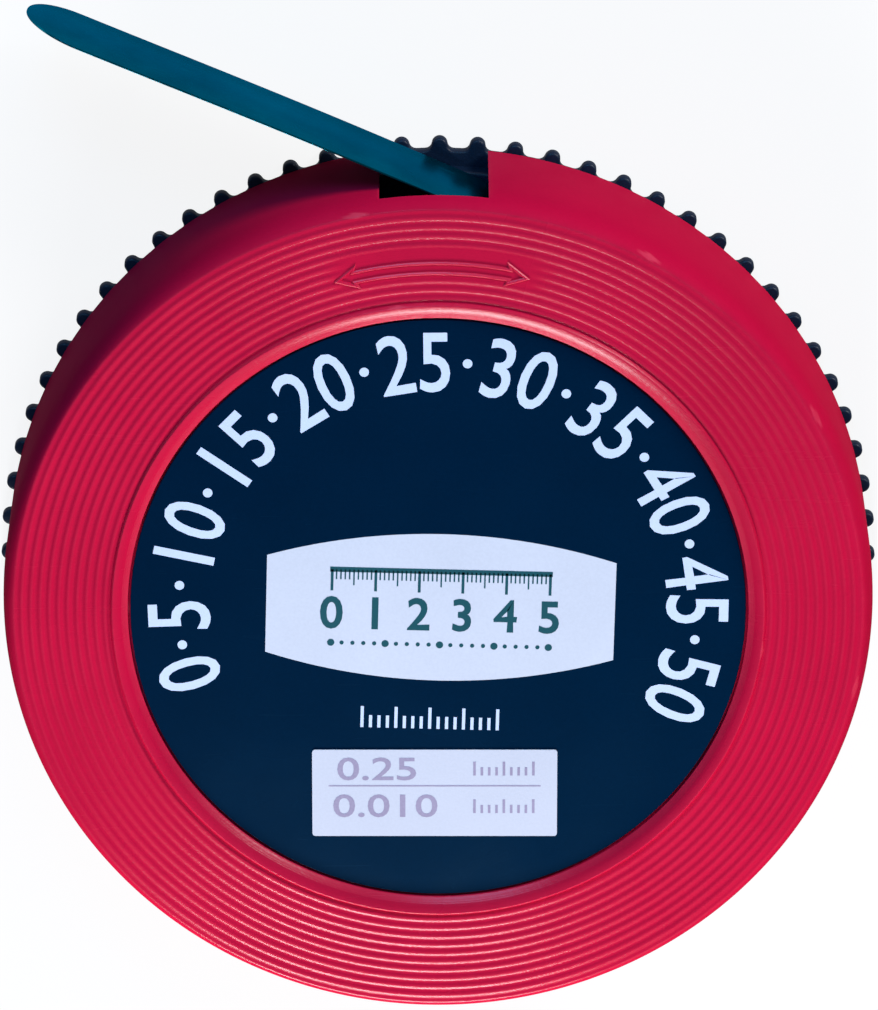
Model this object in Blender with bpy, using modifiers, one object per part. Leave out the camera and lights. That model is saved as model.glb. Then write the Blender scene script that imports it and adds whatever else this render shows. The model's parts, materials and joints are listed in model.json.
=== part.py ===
"""Shim stock roll: a steel thickness tape wound up in a round plastic dispenser.

The dispenser lies on its back. The frame's origin is the centre of the wheel's flat back,
Z is the axis of the wheel, and Y points at the window that the tape comes out of.
Blender 4.5, metres. Every (r, z) profile is listed from its top centre outwards, down the
outer side and back to the axis, so that a turned shape faces outwards.
"""
import math

import bmesh
import bpy
from mathutils import Matrix, Vector

MM = 0.001

# Steel tape
TAPE_WIDTH = 12.7 * MM
TAPE_THICKNESS = 0.25 * MM
TAPE_LENGTH = 5000 * MM
TAPE_WALL_GAP = 3.26 * MM
TAPE_EXIT_ANGLE = math.radians(156.5)
TAPE_END_LENGTH = 70.1 * MM
TAPE_TIP_SEGMENTS = 24

# Clearances
RUNNING_GAP = 0.3 * MM
SEAT_GAP = 0.3 * MM
STICKER_GAP = 0.2 * MM

# Winding wheel
RIM_THICKNESS = 1.6 * MM
RIM_INSET = 0.7 * MM
RIM_CHAMFER = 0.25 * MM
BUMP_COUNT = 72
BUMP_START_ANGLE = math.radians(89.8)
BUMP_INSET = 0.15 * MM
BUMP_RADIUS = 1.1 * MM
BUMP_SEGMENTS = 6
FLOOR_HEIGHT = 3.6 * MM
FLOOR_EDGE_CHAMFER = 0.4 * MM
DRUM_WALL = 2.0 * MM
POST_RADIUS = 5.0 * MM
POST_BORE_RADIUS = 3.2 * MM
POST_TIP_CHAMFER = 0.8 * MM
BEAD_HEIGHT = 0.5 * MM
BEAD_LENGTH = 1.6 * MM
BEAD_BELOW_TOP = 1.6 * MM

# Housing
HOUSING_RADIUS = 50.0 * MM
HOUSING_WALL = 2.0 * MM
COVER_THICKNESS = 2.6 * MM
RIB_HEIGHT = 1.2 * MM
RIB_WIDTH = 1.8 * MM
SHOULDER_WIDTH = 1.9 * MM
SHOULDER_DROP = 5.1 * MM
SHOULDER_SEGMENTS = 5
FOOT_CHAMFER = 0.3 * MM
CREST_COUNT = 11
GROOVE_PITCH = 1.06 * MM
GROOVE_DEPTH = 0.22 * MM
LIP_RADIUS = 1.0 * MM
LIP_RISE = 0.3 * MM
LIP_SEGMENTS = 5
SOCKET_WALL = 2.6 * MM
WINDOW_WIDTH = 12.4 * MM
WINDOW_ANGLE = math.radians(90.56)
WINDOW_HEADROOM = 2.25 * MM

# Label and sticker
LABEL_RADIUS = 35.3 * MM
LABEL_THICKNESS = 0.4 * MM
LABEL_DEPTH = 1.15 * MM
STICKER_LENGTH = 28.3 * MM
STICKER_WIDTH = 10.75 * MM
STICKER_THICKNESS = 0.2 * MM
STICKER_X = -0.4 * MM
STICKER_CORNER_GAP = 3.8 * MM

# Facets, cutters and axis marks
SIDES = 72
SMOOTH_ANGLE = math.radians(30)
MERGE_DISTANCE = 0.00001
CUT_MARGIN = 3.0 * MM
AXIS_MARK_SIZE = 20 * MM

# Heights worked out from the pieces that stack on each other
TAPE_LOW = FLOOR_HEIGHT + RUNNING_GAP
TAPE_HIGH = TAPE_LOW + TAPE_WIDTH
RIB_LOW = TAPE_HIGH + RUNNING_GAP
COVER_UNDERSIDE = RIB_LOW + RIB_HEIGHT
RING_HIGH = COVER_UNDERSIDE + COVER_THICKNESS
WALL_LOW = RIM_THICKNESS + RUNNING_GAP

# Radii worked out from the housing, the tape's line and its wound length
WALL_INNER_RADIUS = HOUSING_RADIUS - HOUSING_WALL
RIM_RADIUS = HOUSING_RADIUS - RIM_INSET
BUMP_CENTRE_RADIUS = HOUSING_RADIUS - BUMP_INSET
TAPE_LINE_RADIUS = WALL_INNER_RADIUS - TAPE_WALL_GAP
COIL_OUTER_RADIUS = TAPE_LINE_RADIUS - TAPE_THICKNESS / 2 - RUNNING_GAP
WOUND_AREA = (TAPE_LENGTH - TAPE_END_LENGTH) * TAPE_THICKNESS
COIL_INNER_RADIUS = math.sqrt(COIL_OUTER_RADIUS ** 2 - WOUND_AREA / math.pi)
COIL_MIDDLE_RADIUS = (COIL_INNER_RADIUS + COIL_OUTER_RADIUS) / 2
DRUM_RADIUS = COIL_INNER_RADIUS - RUNNING_GAP

# The front ring's lip stands beside the label's pocket, and its outer foot is the first valley
POCKET_RADIUS = LABEL_RADIUS + SEAT_GAP
LIP_CENTRE_RADIUS = POCKET_RADIUS + LIP_RADIUS
LIP_CENTRE_HEIGHT = RING_HIGH + LIP_RISE - LIP_RADIUS
LIP_END_ANGLE = math.asin((LIP_RADIUS - LIP_RISE - GROOVE_DEPTH) / LIP_RADIUS)
FIRST_CREST_RADIUS = LIP_CENTRE_RADIUS + LIP_RADIUS * math.cos(LIP_END_ANGLE) + GROOVE_PITCH / 2
LAST_CREST_RADIUS = FIRST_CREST_RADIUS + (CREST_COUNT - 1) * GROOVE_PITCH
SHOULDER_CENTRE_RADIUS = HOUSING_RADIUS - SHOULDER_WIDTH

# The label lies a little below the lip's top
LABEL_TOP = RING_HIGH + LIP_RISE - LABEL_DEPTH
LABEL_LOW = LABEL_TOP - LABEL_THICKNESS
LABEL_SEAT = LABEL_LOW - SEAT_GAP


def clear_scene():
    """Removes what an earlier run left."""
    for item in list(bpy.data.objects):
        bpy.data.objects.remove(item, do_unlink=True)


def new_collection(name, hidden=False):
    """Makes a collection of the scene."""
    collection = bpy.data.collections.new(name)
    bpy.context.scene.collection.children.link(collection)
    collection.hide_render = hidden
    return collection


def make_material(name, colour, roughness, metallic=0.0):
    """Makes a Principled material."""
    material = bpy.data.materials.new(name)
    material.use_nodes = True
    shader = material.node_tree.nodes["Principled BSDF"]
    shader.inputs["Base Color"].default_value = (*colour, 1.0)
    shader.inputs["Roughness"].default_value = roughness
    shader.inputs["Metallic"].default_value = metallic
    return material


def make_empty(name, location, collection, kind="PLAIN_AXES"):
    """Makes an empty that marks an axis."""
    empty = bpy.data.objects.new(name, None)
    empty.empty_display_type = kind
    empty.empty_display_size = AXIS_MARK_SIZE
    empty.location = location
    collection.objects.link(empty)
    return empty


def keep_in_place(child, parent):
    """Parents a piece and leaves it where it is."""
    bpy.context.view_layer.update()
    child.parent = parent
    child.matrix_parent_inverse = parent.matrix_world.inverted()


def turned(name, profile, collection):
    """Turns an (r, z) profile about Z."""
    mesh = bpy.data.meshes.new(name)
    shape = bmesh.new()
    points = [shape.verts.new((radius, 0.0, height)) for radius, height in profile]
    for first, second in zip(points[:-1], points[1:]):
        shape.edges.new((first, second))
    if profile[0][0] > 0.0:
        shape.edges.new((points[-1], points[0]))
    shape.to_mesh(mesh)
    shape.free()
    item = bpy.data.objects.new(name, mesh)
    collection.objects.link(item)
    screw = item.modifiers.new("turn", "SCREW")
    screw.axis = "Z"
    screw.angle = 2.0 * math.pi
    screw.steps = SIDES
    screw.render_steps = SIDES
    screw.use_merge_vertices = True
    screw.merge_threshold = MERGE_DISTANCE
    screw.use_smooth_shade = True
    return item


def arc(centre, radius, start, end, segments):
    """Points along an arc of a profile or outline, both ends included."""
    points = []
    for step in range(segments + 1):
        angle = start + (end - start) * step / segments
        points.append((centre[0] + radius * math.cos(angle), centre[1] + radius * math.sin(angle)))
    return points


def flat_outline(name, points, thickness, collection, chamfer=0.0):
    """Makes a flat plate, centred on its own plane, from a closed outline."""
    curve = bpy.data.curves.new(name, "CURVE")
    curve.dimensions = "2D"
    curve.fill_mode = "BOTH"
    curve.extrude = thickness / 2 - chamfer
    curve.bevel_depth = chamfer
    curve.bevel_resolution = 0
    curve.offset = -chamfer
    spline = curve.splines.new("POLY")
    spline.points.add(len(points) - 1)
    for point, place in zip(spline.points, points):
        point.co = (place[0], place[1], 0.0, 1.0)
    spline.use_cyclic_u = True
    item = bpy.data.objects.new(name, curve)
    collection.objects.link(item)
    return item


def as_mesh(item, collection):
    """Replaces a curve object by a closed mesh of the same name and place."""
    bpy.context.view_layer.update()
    evaluated = item.evaluated_get(bpy.context.evaluated_depsgraph_get())
    mesh = bpy.data.meshes.new_from_object(evaluated)
    shape = bmesh.new()
    shape.from_mesh(mesh)
    bmesh.ops.remove_doubles(shape, verts=shape.verts, dist=MERGE_DISTANCE)
    bmesh.ops.recalc_face_normals(shape, faces=shape.faces)
    shape.to_mesh(mesh)
    shape.free()
    name = item.name
    place = item.matrix_world.copy()
    bpy.data.objects.remove(item, do_unlink=True)
    result = bpy.data.objects.new(name, mesh)
    result.matrix_world = place
    collection.objects.link(result)
    return result


def box(name, low, high, collection):
    """Makes a box between two corners."""
    mesh = bpy.data.meshes.new(name)
    shape = bmesh.new()
    bmesh.ops.create_cube(shape, size=1.0)
    size = Vector(high) - Vector(low)
    middle = (Vector(high) + Vector(low)) / 2
    place = Matrix.Translation(middle) @ Matrix.Diagonal((*size, 1.0))
    bmesh.ops.transform(shape, matrix=place, verts=shape.verts)
    shape.to_mesh(mesh)
    shape.free()
    item = bpy.data.objects.new(name, mesh)
    collection.objects.link(item)
    return item


def combine(item, tool, operation):
    """Cuts or joins a piece with another by a Boolean."""
    boolean = item.modifiers.new(tool.name, "BOOLEAN")
    boolean.operation = operation
    boolean.solver = "EXACT"
    boolean.object = tool
    tool.display_type = "WIRE"
    tool.hide_render = True


def smooth(item):
    """Shades a mesh smooth, with sharp edges where its faces fold."""
    item.data.shade_smooth()
    item.data.set_sharp_from_angle(angle=SMOOTH_ANGLE)


def rim_outline():
    """Outline of the wheel's rim: round bumps that stand out of a round plate."""
    square = BUMP_CENTRE_RADIUS ** 2 + BUMP_RADIUS ** 2 - RIM_RADIUS ** 2
    sweep = math.pi - math.acos(square / (2 * BUMP_CENTRE_RADIUS * BUMP_RADIUS))
    points = []
    for number in range(BUMP_COUNT):
        turn = BUMP_START_ANGLE + 2 * math.pi * number / BUMP_COUNT
        centre = (BUMP_CENTRE_RADIUS * math.cos(turn), BUMP_CENTRE_RADIUS * math.sin(turn))
        points += arc(centre, BUMP_RADIUS, turn - sweep, turn + sweep, BUMP_SEGMENTS)
    return points


def wheel_profile():
    """Profile of the floor, the drum and the snap post that stand on the rim."""
    floor_radius = WALL_INNER_RADIUS - RUNNING_GAP
    bead_high = TAPE_HIGH - BEAD_BELOW_TOP
    bead_low = bead_high - BEAD_LENGTH
    drum_inside = DRUM_RADIUS - DRUM_WALL
    return [
        (0.0, FLOOR_HEIGHT),
        (POST_BORE_RADIUS, FLOOR_HEIGHT),
        (POST_BORE_RADIUS, TAPE_HIGH),
        (POST_RADIUS - POST_TIP_CHAMFER, TAPE_HIGH),
        (POST_RADIUS, TAPE_HIGH - POST_TIP_CHAMFER),
        (POST_RADIUS, bead_high),
        (POST_RADIUS + BEAD_HEIGHT, bead_high - BEAD_HEIGHT),
        (POST_RADIUS + BEAD_HEIGHT, bead_low + BEAD_HEIGHT),
        (POST_RADIUS, bead_low),
        (POST_RADIUS, FLOOR_HEIGHT),
        (drum_inside, FLOOR_HEIGHT),
        (drum_inside, TAPE_HIGH),
        (DRUM_RADIUS, TAPE_HIGH),
        (DRUM_RADIUS, FLOOR_HEIGHT),
        (floor_radius - FLOOR_EDGE_CHAMFER, FLOOR_HEIGHT),
        (floor_radius, FLOOR_HEIGHT - FLOOR_EDGE_CHAMFER),
        (floor_radius, RIM_THICKNESS / 2),
        (0.0, RIM_THICKNESS / 2),
    ]


def make_winding_wheel(parts, tools, material):
    """Knurled wheel that closes the back, with the drum that carries the coil."""
    rim = flat_outline("winding_wheel", rim_outline(), RIM_THICKNESS, parts, RIM_CHAMFER)
    rim.location = (0.0, 0.0, RIM_THICKNESS / 2)
    wheel = as_mesh(rim, parts)
    smooth(wheel)
    drum = turned("wheel_drum", wheel_profile(), tools)
    combine(wheel, drum, "UNION")
    wheel.data.materials.append(material)
    return wheel


def ring_height(radius):
    """Height of the front ring at a radius, without its grooves: flat, then down the shoulder."""
    along = max(0.0, radius - SHOULDER_CENTRE_RADIUS) / SHOULDER_WIDTH
    return RING_HIGH - SHOULDER_DROP * (1.0 - math.sqrt(1.0 - along ** 2))


def lip_profile():
    """Round lip beside the label's pocket, from its inner side to the first valley."""
    centre = (LIP_CENTRE_RADIUS, LIP_CENTRE_HEIGHT)
    return arc(centre, LIP_RADIUS, math.pi, LIP_END_ANGLE, LIP_SEGMENTS)


def groove_profile():
    """Crests and grooves of the front ring, from the lip out to the last crest."""
    points = [(FIRST_CREST_RADIUS, ring_height(FIRST_CREST_RADIUS))]
    for number in range(1, CREST_COUNT):
        crest = FIRST_CREST_RADIUS + number * GROOVE_PITCH
        valley = crest - GROOVE_PITCH / 2
        points.append((valley, ring_height(valley) - GROOVE_DEPTH))
        points.append((crest, ring_height(crest)))
    return points


def shoulder_profile():
    """Long round from the last crest down to the straight part of the wall."""
    start = math.asin((LAST_CREST_RADIUS - SHOULDER_CENTRE_RADIUS) / SHOULDER_WIDTH)
    points = []
    for step in range(1, SHOULDER_SEGMENTS + 1):
        angle = start + (math.pi / 2 - start) * step / SHOULDER_SEGMENTS
        radius = SHOULDER_CENTRE_RADIUS + SHOULDER_WIDTH * math.sin(angle)
        points.append((radius, RING_HIGH - SHOULDER_DROP * (1.0 - math.cos(angle))))
    return points


def rib_profile():
    """Guide rib under the cover that keeps the wound tape down."""
    outer = COIL_MIDDLE_RADIUS + RIB_WIDTH / 2
    inner = COIL_MIDDLE_RADIUS - RIB_WIDTH / 2
    return [
        (outer, COVER_UNDERSIDE),
        (outer, RIB_LOW),
        (inner, RIB_LOW),
        (inner, COVER_UNDERSIDE),
    ]


def socket_profile():
    """Tube that hangs from the cover and snaps over the wheel's post."""
    bore = POST_RADIUS + RUNNING_GAP
    groove = bore + BEAD_HEIGHT
    groove_high = TAPE_HIGH - BEAD_BELOW_TOP + RUNNING_GAP
    groove_low = groove_high - BEAD_LENGTH - 2 * RUNNING_GAP
    tube = groove + SOCKET_WALL
    return [
        (tube, COVER_UNDERSIDE),
        (tube, TAPE_LOW),
        (bore, TAPE_LOW),
        (bore, groove_low),
        (groove, groove_low + BEAD_HEIGHT),
        (groove, groove_high - BEAD_HEIGHT),
        (bore, groove_high),
        (bore, COVER_UNDERSIDE),
        (0.0, COVER_UNDERSIDE),
    ]


def housing_profile():
    """Section of the housing: label pocket, lip, grooved ring, shoulder, wall, rib and socket."""
    return [
        (0.0, LABEL_SEAT),
        (POCKET_RADIUS, LABEL_SEAT),
        *lip_profile(),
        *groove_profile(),
        *shoulder_profile(),
        (HOUSING_RADIUS, WALL_LOW + FOOT_CHAMFER),
        (HOUSING_RADIUS - FOOT_CHAMFER, WALL_LOW),
        (WALL_INNER_RADIUS, WALL_LOW),
        (WALL_INNER_RADIUS, COVER_UNDERSIDE),
        *rib_profile(),
        *socket_profile(),
    ]


def make_housing(parts, tools, material):
    """Housing with its side wall, grooved front ring, label pocket and tape window."""
    housing = turned("housing", housing_profile(), parts)
    housing.data.materials.append(material)
    half_width = WINDOW_WIDTH / 2
    window = box(
        "window_cutter",
        (WALL_INNER_RADIUS - CUT_MARGIN, -half_width, WALL_LOW - CUT_MARGIN),
        (HOUSING_RADIUS + CUT_MARGIN, half_width, TAPE_HIGH + WINDOW_HEADROOM),
        tools,
    )
    window.rotation_euler = (0.0, 0.0, WINDOW_ANGLE)
    combine(housing, window, "DIFFERENCE")
    return housing


def make_tape_coil(parts, material):
    """Wound tape, as one turned ring whose section is what the wound length fills."""
    profile = [
        (COIL_INNER_RADIUS, TAPE_HIGH),
        (COIL_OUTER_RADIUS, TAPE_HIGH),
        (COIL_OUTER_RADIUS, TAPE_LOW),
        (COIL_INNER_RADIUS, TAPE_LOW),
    ]
    coil = turned("tape_coil", profile, parts)
    coil.data.materials.append(material)
    return coil


def tape_foot():
    """Point where the straight end leaves the coil."""
    return Vector((math.sin(TAPE_EXIT_ANGLE), -math.cos(TAPE_EXIT_ANGLE), 0.0)) * TAPE_LINE_RADIUS


def make_tape_end(parts, material):
    """Straight end of the tape, out through the window to its round tip."""
    half = TAPE_WIDTH / 2
    tip_centre = (TAPE_END_LENGTH - half, 0.0)
    outline = [(0.0, half), (0.0, -half)]
    outline += arc(tip_centre, half, -math.pi / 2, math.pi / 2, TAPE_TIP_SEGMENTS)
    strip = flat_outline("tape_end", outline, TAPE_THICKNESS, parts)
    turn = Matrix.Rotation(TAPE_EXIT_ANGLE, 4, "Z") @ Matrix.Rotation(math.pi / 2, 4, "X")
    middle = tape_foot() + Vector((0.0, 0.0, (TAPE_LOW + TAPE_HIGH) / 2))
    strip.matrix_world = Matrix.Translation(middle) @ turn
    strip.data.materials.append(material)
    return strip


def make_label(parts, material):
    """Round label in the housing's pocket."""
    profile = [
        (0.0, LABEL_TOP),
        (LABEL_RADIUS, LABEL_TOP),
        (LABEL_RADIUS, LABEL_LOW),
        (0.0, LABEL_LOW),
    ]
    label = turned("label_disc", profile, parts)
    label.data.materials.append(material)
    return label


def make_sticker(parts, material):
    """Small sticker near the label's lower edge, for the tape's thickness."""
    low = LABEL_TOP + STICKER_GAP
    corner_x = abs(STICKER_X) + STICKER_LENGTH / 2
    lower_side = -math.sqrt((LABEL_RADIUS - STICKER_CORNER_GAP) ** 2 - corner_x ** 2)
    sticker = box(
        "thickness_sticker",
        (STICKER_X - STICKER_LENGTH / 2, lower_side, low),
        (STICKER_X + STICKER_LENGTH / 2, lower_side + STICKER_WIDTH, low + STICKER_THICKNESS),
        parts,
    )
    sticker.data.materials.append(material)
    return sticker


def main():
    """Builds the whole part."""
    clear_scene()
    parts = new_collection("shim_stock_roll")
    tools = new_collection("cutters", hidden=True)
    red = make_material("red_plastic", (0.51, 0.007, 0.045), 0.32)
    black = make_material("black_plastic", (0.006, 0.008, 0.012), 0.55)
    steel = make_material("blued_steel", (0.0, 0.075, 0.17), 0.35, metallic=0.8)
    navy = make_material("navy_print", (0.001, 0.014, 0.048), 0.5)
    paper = make_material("white_paper", (0.62, 0.64, 0.75), 0.7)

    wheel_axis = make_empty("wheel_axis", (0.0, 0.0, 0.0), parts, "SINGLE_ARROW")
    tape_line = make_empty("tape_line", tape_foot(), parts)

    wheel = make_winding_wheel(parts, tools, black)
    make_housing(parts, tools, red)
    coil = make_tape_coil(parts, steel)
    tape_end = make_tape_end(parts, steel)
    make_label(parts, navy)
    make_sticker(parts, paper)

    for item in (wheel, coil):
        keep_in_place(item, wheel_axis)
    keep_in_place(tape_end, tape_line)


main()
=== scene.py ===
"""Looks of a round dispenser that holds a coil of blued steel thickness tape.

The file is laid out as an add-on: each piece has its own operator, a panel in the
sidebar lists them, and the sizes and colours that a user would change are properties
of the scene. Metres, +Z up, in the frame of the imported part: Z is the wheel's axis,
and Y points at the window.
"""
import json
import math

import bmesh
import bpy
from mathutils import Matrix, Vector


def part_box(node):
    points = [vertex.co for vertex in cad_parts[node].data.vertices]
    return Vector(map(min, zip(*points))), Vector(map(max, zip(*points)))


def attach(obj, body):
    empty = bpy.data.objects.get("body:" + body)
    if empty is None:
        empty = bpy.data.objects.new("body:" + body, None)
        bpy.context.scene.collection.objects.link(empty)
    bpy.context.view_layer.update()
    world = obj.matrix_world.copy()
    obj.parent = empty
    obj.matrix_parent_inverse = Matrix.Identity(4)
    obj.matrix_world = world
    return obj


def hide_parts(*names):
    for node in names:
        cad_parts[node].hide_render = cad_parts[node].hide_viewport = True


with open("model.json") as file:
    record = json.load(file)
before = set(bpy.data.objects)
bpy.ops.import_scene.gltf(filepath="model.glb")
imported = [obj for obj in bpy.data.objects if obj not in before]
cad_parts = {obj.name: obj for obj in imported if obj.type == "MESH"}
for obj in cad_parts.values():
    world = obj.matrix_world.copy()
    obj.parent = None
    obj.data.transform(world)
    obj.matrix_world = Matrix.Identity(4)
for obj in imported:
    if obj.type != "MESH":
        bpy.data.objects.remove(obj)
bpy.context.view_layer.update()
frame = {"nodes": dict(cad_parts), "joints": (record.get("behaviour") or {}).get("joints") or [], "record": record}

bl_info = {
    "name": "Thickness Tape Roll",
    "version": (1, 0, 0),
    "blender": (4, 5, 0),
    "location": "View3D > Sidebar > Tape Roll",
    "description": "Builds the looks of a dispenser roll of steel thickness tape",
    "category": "Object",
}

MM = 0.001

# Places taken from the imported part
HOUSING_LOW, HOUSING_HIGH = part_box("housing")
WHEEL_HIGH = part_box("winding_wheel")[1]
COIL_LOW, COIL_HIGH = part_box("tape_coil")
TAPE_LOW, TAPE_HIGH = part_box("tape_end")
LABEL_LOW, LABEL_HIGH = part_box("label_disc")
STICKER_LOW, STICKER_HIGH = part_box("thickness_sticker")
TAPE_FEED = next(joint for joint in frame["joints"] if joint["name"] == "tape_feed")
TAPE_DIRECTION = Vector(TAPE_FEED["axis"]).normalized()
TAPE_NORMAL = Vector((TAPE_DIRECTION.y, -TAPE_DIRECTION.x, 0.0))
TAPE_LINE_RADIUS = frame["record"]["behaviour"]["couplings"][0]["ratio"]
TAPE_FOOT = TAPE_NORMAL * TAPE_LINE_RADIUS
HOUSING_RADIUS = HOUSING_HIGH.x
LABEL_RADIUS = LABEL_HIGH.x
COIL_INNER_RADIUS = min(vert.co.xy.length for vert in frame["nodes"]["tape_coil"].data.vertices)

# Small values that belong to the way of building
MERGE_DISTANCE = 0.005 * MM
PRINT_MERGE_DISTANCE = 0.001 * MM
PLANE_TOLERANCE = 0.01 * MM
CUT_MARGIN = 3.0 * MM
SHARP_ANGLE = math.radians(32)
CUT_EDGE_ANGLE = math.radians(40)
FULL_TURN = 2.0 * math.pi
WHITE = (1.0, 1.0, 1.0)

# Height of the built-in font's digits at a size of one
DIGIT_HEIGHT = 0.682


def length(name, description, default):
    """Property for a length in metres."""
    return bpy.props.FloatProperty(
        name=name, description=description, default=default, min=0.0, precision=5, unit="LENGTH"
    )


def angle(name, description, degrees):
    """Property for an angle."""
    return bpy.props.FloatProperty(
        name=name, description=description, default=math.radians(degrees), subtype="ANGLE", unit="ROTATION"
    )


def factor(name, description, default):
    """Property for a plain number from 0 to 1."""
    return bpy.props.FloatProperty(
        name=name, description=description, default=default, min=0.0, max=1.0, subtype="FACTOR"
    )


def count(name, description, default):
    """Property for a whole number."""
    return bpy.props.IntProperty(name=name, description=description, default=default, min=1)


def colour(name, description, default):
    """Property for a colour, in linear values."""
    return bpy.props.FloatVectorProperty(
        name=name, description=description, default=default, size=3, min=0.0, max=1.0, subtype="COLOR"
    )


def power(name, description, default):
    """Property for a lamp's power."""
    return bpy.props.FloatProperty(
        name=name, description=description, default=default, min=0.0, unit="POWER"
    )


class HousingSettings(bpy.types.PropertyGroup):
    """Sizes and colour of the red housing."""

    steps: count("Steps", "Faces round the housing", 360)
    wall: length("Wall", "Thickness of the side wall", 2.0 * MM)
    corner_round: length("Corner round", "Radius of the wall's foot and of the inner corners", 0.3 * MM)
    cover_gap: length("Cover gap", "From the tape up to the guide rib", 0.3 * MM)
    rib_height: length("Rib height", "Height of the guide rib under the cover", 1.2 * MM)
    rib_width: length("Rib width", "Width of the guide rib", 1.8 * MM)
    shoulder_width: length("Shoulder width", "Width of the ring's rounded outer shoulder", 1.9 * MM)
    shoulder_drop: length("Shoulder drop", "Height of the rounded shoulder", 5.1 * MM)
    shoulder_points: count("Shoulder points", "Points along the shoulder's section", 14)
    shoulder_fullness: bpy.props.FloatProperty(
        name="Shoulder fullness", description="Two is an ellipse, and more is squarer", default=2.4, min=2.0
    )
    crests: count("Crests", "Number of fine crests on the ring", 11)
    groove_pitch: length("Groove pitch", "Distance from one groove to the next", 1.06 * MM)
    groove_depth: length("Groove depth", "Depth of the turned grooves", 0.13 * MM)
    groove_points: count("Groove points", "Points along one groove's section", 8)
    ring_start: length("Ring start", "From the pocket's edge to the first groove", 2.05 * MM)
    lip_face: length("Lip face", "Width of the lip's sloping face", 1.03 * MM)
    lip_top: length("Lip top", "From the pocket's edge to the lip's highest line", 1.75 * MM)
    lip_slope: angle("Lip slope", "Slope of the lip's face towards the label", 23.0)
    lip_rise: length("Lip rise", "Height of the lip over the ring", 0.3 * MM)
    lip_foot: length("Lip foot", "From the label's face up to the lip's inner edge", 0.1 * MM)
    lip_inner_round: length("Lip inner round", "Radius at the inner end of the lip's face", 0.25 * MM)
    lip_outer_round: length("Lip outer round", "Radius at the lip's highest line", 0.12 * MM)
    pocket_gap: length("Pocket gap", "Clearance round and under the label", 0.3 * MM)
    pocket_round: length("Pocket round", "Radius in the pocket's corner", 0.15 * MM)
    window_width: length("Window width", "Width of the tape's window", 12.4 * MM)
    window_turn: angle("Window turn", "Angle of the window's middle", 90.56)
    window_headroom: length("Window headroom", "From the tape up to the window's top", 1.9 * MM)
    window_round: length("Window round", "Rounding of the window's edges", 0.12 * MM)
    post_bore: length("Post bore", "Bore radius of the socket", 5.3 * MM)
    post_groove: length("Post groove", "Radius of the socket's snap groove", 5.8 * MM)
    snap_drop: length("Snap drop", "From the coil's top down to the snap groove", 1.3 * MM)
    snap_length: length("Snap length", "Length of the snap groove", 2.2 * MM)
    socket_radius: length("Socket radius", "Outer radius of the socket", 8.4 * MM)
    socket_round: length("Socket round", "Radius where the socket meets the cover", 0.4 * MM)
    arrow_radius: length("Arrow radius", "Distance of the moulded arrow from the axis", 41.77 * MM)
    arrow_half: length("Arrow half length", "From the arrow's middle to its tip", 10.8 * MM)
    arrow_turn: angle("Arrow turn", "Angle of the arrow's middle", 91.0)
    arrow_band: length("Arrow band", "Height of the arrow's shaft", 1.2 * MM)
    arrow_neck: length("Arrow neck", "From the shaft's end to the arrow's tip", 1.9 * MM)
    arrow_barb: length("Arrow barb", "From the barbs to the arrow's tip", 2.1 * MM)
    arrow_head: length("Arrow head", "Half the width of the arrow's head", 1.1 * MM)
    arrow_points: count("Arrow points", "Steps along half the shaft", 12)
    arrow_line: length("Arrow line", "Width of the arrow's raised line", 0.42 * MM)
    arrow_rise: length("Arrow rise", "Height of the arrow's raised line", 0.12 * MM)
    patch_inner: length("Patch inner", "Inner radius of the smooth patch", 40.5 * MM)
    patch_outer: length("Patch outer", "Outer radius of the smooth patch", 44.35 * MM)
    patch_angle: angle("Patch angle", "Half the angle that the smooth patch spans", 17.5)
    patch_fade: angle("Patch fade", "Angle over which the grooves run out", 4.0)
    colour: colour("Colour", "Colour of the red plastic", (0.52, 0.003, 0.037))
    face_roughness: factor("Face roughness", "Roughness of the ring and the lip", 0.27)
    face_sheen: factor("Face sheen", "Strength of the ring's reflections", 0.22)
    wall_roughness: factor("Wall roughness", "Roughness of the shoulder and the wall", 0.7)
    wall_sheen: factor("Wall sheen", "Strength of the wall's reflections", 0.02)


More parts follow.
